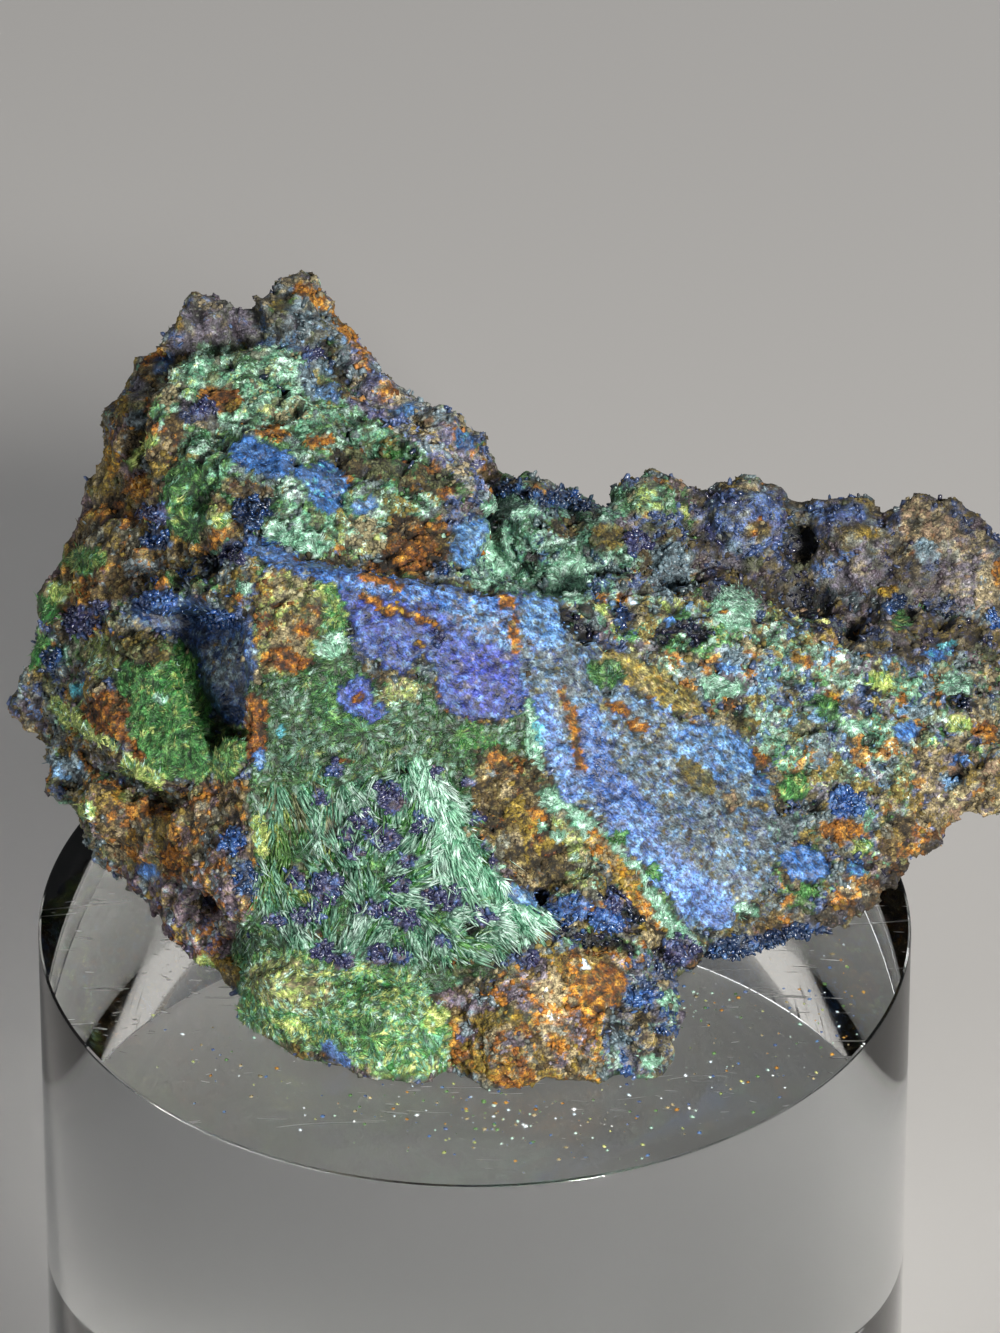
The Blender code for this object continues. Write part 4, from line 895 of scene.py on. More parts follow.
def minerals_at(points, hidden):
    """The mix of each point, its tone, a second tone beside it, and its grain's own number."""
    spots = points / MM
    _, small, small_own = grains(spots, SMALL_GRAIN, 71)
    swirl = np.stack([rough_waves(small, 1.5, 63 + k, 2) for k in range(3)], axis=1)
    _, _, large_own = grains(small + 0.9 * swirl, LARGE_GRAIN, 61)
    _, _, middle_own = grains(small + 0.5 * swirl, 0.45 * LARGE_GRAIN, 67)
    pixels = photo_pixels(small * MM)
    reach = SEEN_WANDER + HIDDEN_WANDER * hidden
    for size, where in ((2.0, hidden < 0.5), (6.0, hidden >= 0.5)):
        pixels[where, 0] += reach[where] * rough_waves(small[where], size, 21)
        pixels[where, 1] += reach[where] * rough_waves(small[where], size, 31)
    mix = mix_at(pixels)
    kind = KIND_OF_MIX[mix]
    coarse = kind <= KINDS.index("earth")
    clustered = np.where(middle_own < 0.5, large_own, (middle_own * 5.17) % 1)
    chance = np.where(coarse & (small_own < 0.86), clustered, (small_own * 7.31) % 1)
    _, _, streak = grains(grain_places(points, kind), STREAK, 63)
    combed = kind == KINDS.index("spray")
    combed |= (kind == KINDS.index("velvet")) & (small_own < 0.6)
    chance = np.where(combed, streak, chance)
    own = np.where(combed, (streak * 5.31 + 0.15 * small_own) % 1, (small_own * 3.77) % 1)
    return mix, tone_in(mix, chance), tone_in(mix, (chance + 0.37 + 0.3 * middle_own) % 1), own


def unit(vectors):
    """Vectors of length one."""
    return vectors / np.maximum(np.linalg.norm(vectors, axis=1), 1e-12)[:, None]


def fibre_runs(points, kinds):
    """The direction in which malachite fibres grow at each point, and how far from their root."""
    spots = points / MM
    _, roots, _ = grains(spots, TUFT_SIZE, 91)
    run = spots - roots
    pixels = photo_pixels(points)
    middles = np.array([middle for middle, _ in SPRAYS], float)
    starts = np.array([start for _, start in SPRAYS], float)
    sway = 14 * np.stack([waves(spots, 2.5, 101), waves(spots, 2.5, 103)], axis=1)
    apart = (pixels + sway)[:, None] - middles[None]
    steps = pixels - starts[np.linalg.norm(apart, axis=2).argmin(axis=1)]
    fanned = (steps[:, :1] * VIEW_RIGHT - steps[:, 1:] * VIEW_UP) / PIXELS_PER_MM
    return np.where((kinds == KINDS.index("spray"))[:, None], fanned, run)


def grain_places(points, kinds):
    """Where the fine grain is looked up: in place, or along the fibres where they grow."""
    run = fibre_runs(points, kinds)
    fan = np.where((kinds == KINDS.index("spray"))[:, None], 5.0, 1.4)
    fibrous = np.isin(kinds, (KINDS.index("spray"), KINDS.index("velvet")))[:, None]
    spots = points / MM
    grain = SHEET_GRAIN[0] * VIEW_RIGHT + SHEET_GRAIN[1] * VIEW_UP
    drawn = spots - SHEET_STRETCH * (spots @ grain)[:, None] * grain
    spots = np.where((kinds == KINDS.index("sheet"))[:, None], drawn, spots)
    return np.where(fibrous, unit(run) * fan + 0.1 * run + 50, spots)


def shades(tones, share):
    """Colours between the darkest and the lightest of each tone."""
    share = np.clip(share, 0, 1)[:, None]
    dark, usual, light = PALETTE[tones, 0], PALETTE[tones, 1], PALETTE[tones, 2]
    lower = dark + (usual - dark) * 2 * share
    upper = usual + (light - usual) * (2 * share - 1)
    return np.where(share < 0.5, lower, upper)


def colours_of(mix, tones, share):
    """Colours of tones in their mixes, drawn together a little and with each mix's own shade."""
    colours = shades(tones, share)
    lightness = colours.sum(axis=1) / PALETTE[tones, 1].sum(axis=1)
    muting = MUTING_OF_MIX[mix][:, None]
    colours = colours * (1 - muting) + COLOUR_OF_MIX[mix] * lightness[:, None] * muting
    return colours * SHADE_OF_MIX[mix][:, None]


def paint(mesh, colours, dullness, places, others=None):
    """Writes two colours, a roughness and the place of the fine grain on each vertex."""
    values = np.ones((len(colours), 4), np.float32)
    for name, tints in (("tint", colours), ("second_tint", others)):
        values[:, :3] = colours if tints is None else tints
        tint = mesh.color_attributes.new(name, "FLOAT_COLOR", "POINT")
        tint.data.foreach_set("color", values.ravel())
    dull = mesh.attributes.new("dullness", "FLOAT", "POINT")
    dull.data.foreach_set("value", dullness.astype(np.float32))
    grain = mesh.attributes.new("grain", "FLOAT_VECTOR", "POINT")
    grain.data.foreach_set("vector", np.ascontiguousarray(places, np.float32).ravel())


def grainy_material(name, grain_size, contrast, bump_height, ior, specks=0.5):
    """A mineral surface: two tints mottled together, broken up by fine grains and by pale specks
    painted in as glints.

    The grain size is in mm, the bump height in metres, and specks the share of grit that gets a
    painted glint.
    """
    made, tree = new_material(name)
    tint = add_node(tree, "ShaderNodeAttribute", attribute_name="tint")
    other = add_node(tree, "ShaderNodeAttribute", attribute_name="second_tint")
    dull = add_node(tree, "ShaderNodeAttribute", attribute_name="dullness")
    place = add_node(tree, "ShaderNodeAttribute", attribute_name="grain")
    vector = place.outputs["Vector"]
    fine = add_node(
        tree,
        "ShaderNodeTexNoise",
        {"Vector": vector, "Scale": 1 / grain_size, "Detail": 2.0, "Roughness": 0.65},
    )
    light = add_node(
        tree,
        "ShaderNodeMapRange",
        {
            "Value": fine.outputs["Fac"],
            "From Min": 0.32, "From Max": 0.68,
            "To Min": 1 - contrast, "To Max": 1 + 1.1 * contrast,
        },
    )
    broad = add_node(
        tree,
        "ShaderNodeTexNoise",
        {"Vector": vector, "Scale": 0.3 / grain_size, "Detail": 2.0, "Roughness": 0.6},
    )
    broad_light = add_node(
        tree,
        "ShaderNodeMapRange",
        {
            "Value": broad.outputs["Fac"],
            "From Min": 0.35, "From Max": 0.65,
            "To Min": 1 - 0.9 * contrast, "To Max": 1 + 0.9 * contrast,
        },
    )
    both = add_node(
        tree,
        "ShaderNodeMath",
        {0: light.outputs["Result"], 1: broad_light.outputs["Result"]},
        operation="MULTIPLY",
    )
    mottle = add_node(
        tree,
        "ShaderNodeTexNoise",
        {"Vector": vector, "Scale": 0.42 / grain_size, "Detail": 2.0, "Roughness": 0.7},
    )
    second_share = add_node(
        tree,
        "ShaderNodeMapRange",
        {
            "Value": mottle.outputs["Fac"],
            "From Min": 0.54, "From Max": 0.6,
            "To Min": 0.0, "To Max": 0.9,
        },
    )
    mottled = add_node(
        tree,
        "ShaderNodeMix",
        {0: second_share.outputs["Result"], 6: tint.outputs["Color"], 7: other.outputs["Color"]},
        data_type="RGBA",
    )
    shade = add_node(
        tree,
        "ShaderNodeVectorMath",
        {0: mottled.outputs[2], "Scale": both.outputs["Value"]},
        operation="SCALE",
    )
    # Pale specks painted into the colour: painted glints where grains catch the light.
    grit = add_node(
        tree,
        "ShaderNodeTexVoronoi",
        {"Vector": vector, "Scale": 0.55 / grain_size, "Randomness": 1.0},
        feature="F1",
    )
    apart = add_node(tree, "ShaderNodeSeparateColor", {"Color": grit.outputs["Color"]})
    glint_speck = add_node(
        tree,
        "ShaderNodeMapRange",
        {
            "Value": grit.outputs["Distance"],
            "From Min": 0.34, "From Max": 0.22,
            "To Min": 0.0, "To Max": 1.0,
        },
    )
    chosen = add_node(
        tree,
        "ShaderNodeMath",
        {0: apart.outputs["Red"], 1: 1 - 0.5 * specks},
        operation="GREATER_THAN",
    )
    pale = add_node(
        tree,
        "ShaderNodeMath",
        {0: glint_speck.outputs["Result"], 1: chosen.outputs["Value"]},
        operation="MULTIPLY",
    )
    painted_glint_share = add_node(
        tree, "ShaderNodeMath", {0: pale.outputs["Value"], 1: 0.5}, operation="MULTIPLY"
    )
    glint_lightened = add_node(
        tree,
        "ShaderNodeVectorMath",
        {0: shade.outputs["Vector"], 1: (1.5, 1.5, 1.5), 2: (0.1, 0.1, 0.09)},
        operation="MULTIPLY_ADD",
    )
    glint_specked = add_node(
        tree,
        "ShaderNodeMix",
        {
            0: painted_glint_share.outputs["Value"],
            6: shade.outputs["Vector"],
            7: glint_lightened.outputs["Vector"],
        },
        data_type="RGBA",
    )
    bump = add_node(
        tree,
        "ShaderNodeBump",
        {"Height": fine.outputs["Fac"], "Strength": 0.8, "Distance": bump_height},
    )
    surface = add_node(
        tree,
        "ShaderNodeBsdfPrincipled",
        {
            "Base Color": glint_specked.outputs[2],
            "Roughness": dull.outputs["Fac"],
            "IOR": ior,
            "Normal": bump.outputs["Normal"],
        },
    )
    add_node(tree, "ShaderNodeOutputMaterial", {"Surface": surface.outputs["BSDF"]})
    return made


def finish_stone_piece(obj, material):
    """Material, body and slot of a piece of the stone."""
    obj.data.materials.clear()
    obj.data.materials.append(material)
    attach(obj, "root")


def broken_blocks(spots, size, seed, step, tilt):
    """Height of a surface broken into small tilted faces, each at its own level."""
    _, centres, own = grains(spots, size, seed)
    lean = np.stack([hashed(np.floor(centres * 90), seed + k) - 0.5 for k in (31, 32, 33)], axis=1)
    return step * (own - 0.5) + tilt * ((spots - centres) * lean).sum(axis=1)


def dome(near, reach):
    """Rises from 0 at the reach to 1 at a grain's centre."""
    return np.clip(1 - near / reach, 0, 1)


def relief_height(spots, kinds):
    """Height in mm of the fine relief of each kind of crust."""
    streaks = rough_waves(grain_places(spots * MM, kinds), 0.55, 107, 2)
    hole_near, _, hole_own = grains(spots, 2.9, 25)
    mid_near, _, mid_own = grains(spots, 1.0, 15)
    rolling = rough_waves(spots, 2.8, 3)
    fine = rough_waves(spots, 0.8, 13, 2)
    large = broken_blocks(spots, 2.0, 5, 0.35, 0.7)
    middle = broken_blocks(spots, 1.0, 7, 0.4, 0.9)
    small = broken_blocks(spots, 0.6, 9, 0.22, 0.6)
    height = np.zeros(len(spots))
    crust = large + middle + small + 0.35 * rolling
    crust -= np.where(hole_own < 0.4, 1.9, 0) * dome(hole_near, 0.45)
    crust = np.clip(crust, -1.7, 0.75)
    worn = 0.9 * large + 0.8 * middle + small + 0.35 * rolling
    worn -= np.where(hole_own < 0.2, 1.2, 0) * dome(hole_near, 0.35)
    earth = 0.35 * rolling + 1.0 * middle + 1.3 * small + 0.1 * fine
    earth -= np.where(mid_own < 0.25, 0.7, 0) * dome(mid_near, 0.5)
    sheet = 0.12 * rolling + 0.8 * small + 0.12 * fine + 0.12
    druse = 0.7 * dome(mid_near, 0.95) * (0.4 + mid_own) + 0.8 * small + 0.5 * middle
    velvet = 0.3 * rolling + 0.6 * small + 0.3 * streaks
    spray = 0.3 * rolling + 0.9 * middle + 0.45 * streaks - 0.1
    pit = -0.8 + 0.4 * rolling + 1.2 * middle + 2.0 * small
    for number, value in enumerate((crust, worn, earth, sheet, druse, velvet, spray, pit)):
        height = np.where(kinds == number, value, height)
    return height


def spread_over_edges(values, edges, turns):
    """Values averaged with those of neighbouring vertices."""
    count = np.bincount(edges.ravel(), minlength=len(values)) + 1
    for _ in range(turns):
        total = values.copy()
        total += np.bincount(edges[:, 0], values[edges[:, 1]], len(values))
        total += np.bincount(edges[:, 1], values[edges[:, 0]], len(values))
        values = total / count
    return values


def lobe_height(points, hidden):
    """Height in mm of the lobes and clefts that are seen from the front."""
    pixels = photo_pixels(points)
    height = np.zeros(len(points))
    for column, row, reach, rise in LOBES:
        apart = np.linalg.norm(pixels - (column, row), axis=1) / PIXELS_PER_MM
        height += rise * np.clip(1 - (apart / reach) ** 2, 0, 1) ** 2
    return height * (hidden < 0.5)


def trimmed(points):
    """The points moved a little across the view, where the outline of the stone asks for it."""
    moved = points.copy()
    for column, row, reach, right, up in TRIMS:
        apart = np.linalg.norm(photo_pixels(points) - (column, row), axis=1) / PIXELS_PER_MM
        share = np.clip(1 - (apart / reach) ** 2, 0, 1)[:, None] ** 2
        moved += share * (right * VIEW_RIGHT + up * VIEW_UP) * MM
    return moved


def even_skin(pitch):
    """Points, normals, triangles and edges of the stone's solid at an even pitch in mm."""
    whole = bpy.data.objects.new("whole", frame["nodes"]["specimen"].data.copy())
    bpy.context.scene.collection.objects.link(whole)
    remesh = whole.modifiers.new("even", "REMESH")
    remesh.mode = "VOXEL"
    remesh.voxel_size = pitch * MM
    smooth = whole.modifiers.new("soften", "SMOOTH")
    smooth.factor = 0.5
    smooth.iterations = 3
    mesh = apply_modifiers(whole)
    ends = np.empty(2 * len(mesh.edges), np.int32)
    mesh.edges.foreach_get("vertices", ends)
    skin = points_of(mesh), normals_of(mesh), triangles_of(mesh), ends.reshape(-1, 2)
    bpy.data.objects.remove(whole)
    return skin


def kept(skin, wanted):
    """The part of a skin whose points are wanted."""
    points, normals, triangles, ends = skin
    number = np.cumsum(wanted) - 1
    triangles = number[triangles[wanted[triangles].all(axis=1)]]
    return points[wanted], normals[wanted], triangles, number[ends[wanted[ends].all(axis=1)]]


def depth_of(points):
    """How far back each point lies, across the cut between the front and the back pieces."""
    return (points - STAND_TOP) @ (0.0, 1.0, -0.3)


def rock_piece(names, skin, pitch, material):
    """Builds a part of the stone with its fine lumps, druse and pits, in pieces from left on."""
    points, normals, triangles, ends = skin
    hidden = hidden_from_front(points)
    mix = minerals_at(points, hidden)[0]
    lobes = lobe_height(points, hidden)
    height = relief_height(points / MM, KIND_OF_MIX[mix])
    height = spread_over_edges(height, ends, 1)
    turns = round(0.7 / pitch**2)
    hollow = np.clip((height - spread_over_edges(height, ends, turns)) / 0.3, -1, 1)
    height += lobes
    low = points[:, 2] < STONE_BOX[0][2] + FOOT_HEIGHT * MM
    height[low] *= FOOT_RELIEF
    points = trimmed(points + normals * height[:, None] * MM)
    points[low, 2] -= FOOT_DROP * MM
    points[:, 2] = np.maximum(points[:, 2], STAND_HEIGHT + FOOT_GAP * MM)
    mix, tones, others, own = minerals_at(points, hidden)
    # Painted shade: the tones and the colour are darkened in the hollows of the relief and in the
    # clefts, and a painted highlight lightens its ridges and lobes. The slow waves on top are tone
    # that differs at random.
    share = 0.08 + 0.8 * own + 0.3 * rough_waves(points / MM, 1.4, 47) + 0.3 * hollow
    light = 1 + 0.78 * np.minimum(hollow, 0) + 0.25 * np.maximum(hollow, 0)
    light *= 1 + 0.55 * np.clip(lobes, -1, 0) + 0.12 * np.clip(lobes, 0, 1)
    light = (light * (1 + 0.25 * waves(points / MM, 4.5, 53)))[:, None]
    colours = colours_of(mix, tones, share) * light
    seconds = colours_of(mix, others, share) * light
    places = grain_places(points, KIND_OF_MIX[mix])
    across = points[triangles, 0].mean(axis=1)
    limits = np.quantile(across, np.linspace(0, 1, len(names) + 1)[1:-1])
    for number, name in enumerate(names):
        faces = triangles[np.searchsorted(limits, across) == number]
        used, faces = np.unique(faces, return_inverse=True)
        piece = mesh_object(name, points[used], faces.reshape(-1, 3))
        paint(piece.data, colours[used], DULLNESS[tones[used]], places[used], seconds[used])
        finish_stone_piece(piece, material)
        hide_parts("specimen")


def make_rock(front_pitch, back_pitch):
    """The stone's surface: fine in front, coarser behind, one over the other along the seam."""
    # Broken azurite, malachite and limonite, grown over each other: matt and sandy, with pale
    # specks painted into the colour as glints where fresh grains catch the light. The grain of 0.05
    # mm is drawn at 0.17 mm to show.
    material = grainy_material("azurite_malachite_limonite", 0.17, 0.75, 0.14 * MM, 1.65)
    front = even_skin(front_pitch)
    cut = np.quantile(depth_of(front[0]), FRONT_SHARE)
    front = kept(front, depth_of(front[0]) < cut + SEAM * MM)
    rock_piece(ROCK_PIECES[:2], front, front_pitch, material)
    back = even_skin(back_pitch)
    back = kept(back, depth_of(back[0]) > cut - SEAM * MM)
    rock_piece(ROCK_PIECES[2:], back, back_pitch, material)


def surface_samples(count, seed, kinds_wanted, tones_wanted, otherwise):
    """Random points on the stone with their normals and minerals, dense where wanted."""
    chance = np.random.default_rng(seed)
    corners = []
    for name in ROCK_PIECES:
        mesh = bpy.data.objects[name].data
        corners.append(points_of(mesh)[triangles_of(mesh)])
    a, b, c = np.concatenate(corners).transpose(1, 0, 2)
    cross = np.cross(b - a, c - a)
    area = np.linalg.norm(cross, axis=1) / 2
    away = (a + b + c) / 3 - CAMERA_POINT
    facing = -(cross * away).sum(axis=1) > 0
    tries = 7 * count
    weight = area * np.where(facing, 1.0, HIDDEN_DENSITY)
    picks = chance.choice(len(area), tries, p=weight / weight.sum())
    u, v = chance.random((2, tries))
    flip = u + v > 1
    u, v = np.where(flip, 1 - u, u), np.where(flip, 1 - v, v)
    spots = a[picks] + u[:, None] * (b - a)[picks] + v[:, None] * (c - a)[picks]
    normals = cross[picks] / (2 * area[picks, None])
    hidden = np.ones(tries)
    hidden[facing[picks]] = hidden_from_front(spots[facing[picks]])
    mix, tones, _, own = minerals_at(spots, hidden)
    wanted = np.array([kinds_wanted.get(kind, 0.0) for kind in KINDS])[KIND_OF_MIX[mix]]
    fits = np.array([name in tones_wanted for name in TONE_NAMES])[tones]
    wanted = wanted * np.where(fits, 1.0, otherwise)
    keep = np.flatnonzero(chance.random(tries) < wanted / max(kinds_wanted.values()))[:count]
    return chance, spots[keep], normals[keep], mix[keep], tones[keep], own[keep]


def frames_along(axes, chance):
    """Two directions at right angles to each axis and to each other, turned at random."""
    random = chance.normal(size=axes.shape)
    first = unit(np.cross(axes, random))
    return first, np.cross(axes, first)


def joined(name, shape, faces, centres, sides, axes, sizes, wobble, chance):
    """One object of many copies of a small closed shape, each with its own place and form."""
    first, second = sides
    shape = np.asarray(shape, float)
    forms = shape[None] * sizes[:, None, :]
    forms = forms + wobble * sizes.min(axis=1)[:, None, None] * chance.normal(size=forms.shape)
    vertices = (
        centres[:, None, :]
        + forms[:, :, :1] * first[:, None, :]
        + forms[:, :, 1:2] * second[:, None, :]
        + forms[:, :, 2:] * axes[:, None, :]
    )
    steps = len(shape) * np.arange(len(centres))
    triangles = np.asarray(faces)[None] + steps[:, None, None]
    return mesh_object(name, vertices.reshape(-1, 3), triangles.reshape(-1, 3))


def prism(corners, tip_height, shoulder):
    """A closed prism with a pointed top: its points and its triangles."""
    angles = [2 * math.pi * k / corners for k in range(corners)]
    low = [(math.cos(a), math.sin(a), -0.5) for a in angles]
    high = [(shoulder * math.cos(a), shoulder * math.sin(a), 0.5) for a in angles]
    faces = [(0, k + 1, k) for k in range(1, corners - 1)]
    for k in range(corners):
        after = (k + 1) % corners
        faces.append((k, after, corners + after))
        faces.append((k, corners + after, corners + k))
        faces.append((corners + k, corners + after, 2 * corners))
    return low + high + [(0, 0, tip_height)], faces


def make_crystals(longest):
    """Blades and blocks of azurite standing on the druse and through the crusts."""
    shape, faces = prism(5, 0.72, 0.72)
    wanted = {
        "druse": 1.0, "crust": 0.3, "worn": 0.2, "sheet": 0.1, "pit": 0.5, "earth": 0.15,
        "spray": 0.1,
    }
    chance, spots, normals, mix, tones, own = surface_samples(
        CRYSTAL_TRIANGLES // len(faces), 3, wanted, AZURITE_TONES, 0.0
    )
    count = len(spots)
    axes = unit(normals + 0.6 * chance.normal(size=(count, 3)))
    flat = KIND_OF_MIX[mix] == KINDS.index("sheet")
    thick = chance.uniform(0.12, 0.34, count) * np.where(flat, 0.5, 1.0) * MM
    wide = thick * chance.uniform(0.35, 1.0, count)
    tall = chance.uniform(0.35, longest, count) * np.where(flat, 0.4, 1.0) * MM
    sizes = np.stack([thick, wide, tall], axis=1)
    made = joined(
        "azurite_crystals", shape, faces, spots + 0.02 * MM * normals,
        frames_along(axes, chance), axes, sizes, 0.08, chance,
    )
    share = 0.2 + 0.4 * own + 0.3 * chance.random(count)
    rise = np.array([0.0] * 5 + [0.06] * 5 + [0.15])
    colours = colours_of(
        np.repeat(mix, len(shape)), np.repeat(tones, len(shape)), (share[:, None] + rise).ravel()
    )
    dullness = np.repeat(DULLNESS[tones] * CRYSTAL_DULLNESS, len(shape))
    paint(made.data, colours, dullness, points_of(made.data) / MM)
    # Glassy blades of azurite: even deep colour, faces that flash, and a high IOR
    finish_stone_piece(made, grainy_material("azurite_blades", 0.2, 0.2, 0.03 * MM, 1.76, 0.2))
    return made


def make_fibres(longest):
    """Silky fibres of malachite, fanned out from many roots."""
    shape = [(1, 0, 0), (-0.5, 0.87, 0), (-0.5, -0.87, 0), (0, 0, 1)]
    faces = [(0, 2, 1), (0, 1, 3), (1, 2, 3), (2, 0, 3)]
    wanted = {"velvet": 0.7, "spray": 1.0, "crust": 0.25, "worn": 0.1, "pit": 0.2}
    chance, spots, normals, mix, tones, own = surface_samples(
        FIBRE_TRIANGLES // len(faces), 4, wanted, MALACHITE_TONES, 0.12
    )
    count = len(spots)
    kind = KIND_OF_MIX[mix]
    in_spray = kind == KINDS.index("spray")
    outward = unit(fibre_runs(spots, kind))
    outward += 0.45 * np.stack([waves(spots / MM, 1.3, 97 + k) for k in range(3)], axis=1)
    outward -= (outward * normals).sum(axis=1)[:, None] * normals
    outward = unit(outward) + 0.1 * chance.normal(size=(count, 3))
    lift = np.where(in_spray, 0.02, 0.25) + 0.1 * own
    axes = unit(outward + lift[:, None] * normals)
    long = np.where(in_spray, chance.uniform(0.7, longest, count), chance.uniform(0.3, 0.7, count))
    long *= 0.5 + 0.8 * own
    long *= np.where(kind == KINDS.index("crust"), 0.7, 1.0)
    thick = np.where(in_spray, 0.17, 0.08) * chance.uniform(0.6, 1.5, count)
    sizes = np.stack([thick, 0.4 * thick, long], axis=1) * MM
    across = unit(np.cross(axes, normals))
    made = joined(
        "malachite_fibres", shape, faces, spots - 0.03 * MM * normals,
        (across, np.cross(axes, across)), axes, sizes, 0.0, chance,
    )
    share = 0.2 + 0.5 * own + 0.2 * chance.random(count)
    rise = np.array([-0.1, -0.1, -0.1, 0.2])
    colours = colours_of(
        np.repeat(mix, len(shape)), np.repeat(tones, len(shape)), (share[:, None] + rise).ravel()
    )
    dullness = np.repeat(DULLNESS[tones] * FIBRE_DULLNESS, len(shape))
    paint(made.data, colours, dullness, points_of(made.data) / MM)
    # Silky malachite fibres, fresh and unworn: a soft gloss along each bundle, paler at the tips
    finish_stone_piece(made, grainy_material("malachite_fibres", 0.3, 0.2, 0.02 * MM, 1.8, 0.1))
    return made


def make_grains():
    """Earthy grains of limonite and of the mixed crusts."""
    shape, faces = OCTAHEDRON
    wanted = {
        "crust": 1.0, "worn": 0.7, "earth": 0.8, "sheet": 0.04, "pit": 1.0, "velvet": 0.1,
        "druse": 0.3,
    }
    earthy = set(TONE_NAMES) - set(AZURITE_TONES) - set(MALACHITE_TONES)
    chance, spots, normals, mix, tones, own = surface_samples(
        GRAIN_TRIANGLES // len(faces), 5, wanted, earthy, 0.3
    )
    count = len(spots)
    axes = unit(normals + 0.8 * chance.normal(size=(count, 3)))
    size = chance.uniform(0.14, 0.5, count) ** 1.4 * MM
    sizes = size[:, None] * chance.uniform(0.65, 1.2, (count, 3))
    made = joined(
        "crust_grains", shape, faces, spots - 0.04 * MM * normals,
        frames_along(axes, chance), axes, sizes, 0.16, chance,
    )
    share = np.repeat(0.2 + 0.45 * own + 0.25 * chance.random(count), len(shape))
    colours = colours_of(np.repeat(mix, len(shape)), np.repeat(tones, len(shape)), share)
    paint(made.data, colours, np.repeat(DULLNESS[tones], len(shape)), points_of(made.data) / MM)
    # Crumbly limonite and mixed grains: earthy and dull, each with its own light and dark side
    finish_stone_piece(made, grainy_material("limonite_grains", 0.18, 0.35, 0.05 * MM, 1.6))
    return made


# Crumbs on the stand: how many, and the pixel and spread of each patch of them

CRUMB_PATCHES = (
    (150, 590, 1120, 60, 26),
    (90, 480, 1120, 45, 18),
    (170, 790, 1050, 70, 34),
    (60, 700, 1006, 24, 12),
    (35, 840, 1000, 22, 26),
    (60, 380, 1110, 70, 22),
    (50, 240, 1060, 60, 26),
)
CRUMB_TONES = ("mint", "tan", "malachite", "azurite", "lime", "orange", "white", "deep azurite")


def make_crumbs():
    """Crumbs of the stone that lie on the top of the stand."""
    chance = np.random.default_rng(8)
    shape, faces = OCTAHEDRON
    pixels = np.concatenate(
        [
            chance.normal((column, row), (wide, high), (number, 2))
            for number, column, row, wide, high in CRUMB_PATCHES
        ]
    )
    across = (pixels[:, :1] - PHOTO_SIZE[0] / 2) / FOCAL_PIXELS * VIEW_RIGHT
    upward = (PHOTO_SIZE[1] / 2 - pixels[:, 1:]) / FOCAL_PIXELS * VIEW_UP
    ray = VIEW_DIRECTION + across + upward
    places = CAMERA_POINT + ray * ((STAND_HEIGHT - CAMERA_POINT[2]) / ray[:, 2])[:, None]
    places = places[np.hypot(places[:, 0], places[:, 1]) < STAND_RADIUS - 1.0 * MM]
    count = len(places)
    size = chance.uniform(0.25, 1.0, count) ** 2 * 0.26 * MM
    places[:, 2] = STAND_HEIGHT + 0.5 * size
    upright = np.tile((0.0, 0.0, 1.0), (count, 1))
    flat = np.column_stack([chance.uniform(0.7, 1.3, (count, 2)), np.full(count, 0.6)])
    sizes = size[:, None] * flat
    made = joined(
        "loose_crumbs", shape, faces, places, frames_along(upright, chance), upright, sizes,
        0.12, chance,
    )
    tones = np.array([TONE_NAMES.index(name) for name in CRUMB_TONES])[
        chance.integers(0, len(CRUMB_TONES), count)
    ]
    share = np.repeat(chance.uniform(0.6, 1.0, count), len(shape))
    colours = shades(np.repeat(tones, len(shape)), share)
    paint(made.data, colours, np.repeat(DULLNESS[tones], len(shape)), points_of(made.data) / MM)
    # Fresh crumbs of the same minerals, lighter than the worn stone
    finish_stone_piece(made, grainy_material("stone_crumbs", 0.1, 0.2, 0.02 * MM, 1.6))
    return made


# Patterns in the acrylic, per metre: haze in patches of 4.5 mm, and scratches about 9 mm long
# and 0.4 mm apart that bend over 22 mm

HAZE_SCALE = 220.0
SCRATCH_SCALE = (110.0, 2300.0, 110.0)
BEND_SCALE = 45.0
BEND_DEPTH = 34.0

# Turn of each set of scratches and how strongly it shows

SCRATCH_SETS = ((0.5, 1.0), (2.1, 1.0), (1.2, 0.7))


def scratches_on(tree, place):
    """A value that is 1 along fine curved scratches in three directions, and else 0."""
    bent = add_node(
        tree, "ShaderNodeTexNoise", {"Vector": place, "Scale": BEND_SCALE, "Detail": 1.0}
    )
    scratches = None
    for turn, width in SCRATCH_SETS:
        drawn = add_node(
            tree,
            "ShaderNodeMapping",
            {"Vector": place, "Rotation": (0, 0, turn), "Scale": SCRATCH_SCALE},
        )
        swayed = add_node(
            tree,
            "ShaderNodeVectorMath",
            {0: bent.outputs["Color"], 1: (0.0, BEND_DEPTH, 0.0), 2: drawn.outputs["Vector"]},
            operation="MULTIPLY_ADD",
        )
        line = add_node(
            tree,
            "ShaderNodeTexNoise",
            {"Vector": swayed.outputs["Vector"], "Scale": 1.0, "Detail": 1.0},
        )
        mark = add_node(
            tree,
            "ShaderNodeMapRange",
            {
                "Value": line.outputs["Fac"],
                "From Min": 0.72,
                "From Max": 0.76,
                "To Min": 0.0,
                "To Max": width,
            },
        ).outputs["Result"]
        if scratches is not None:
            mark = add_node(
                tree, "ShaderNodeMath", {0: scratches, 1: mark}, operation="MAXIMUM"
            ).outputs["Value"]
        scratches = mark
    return scratches


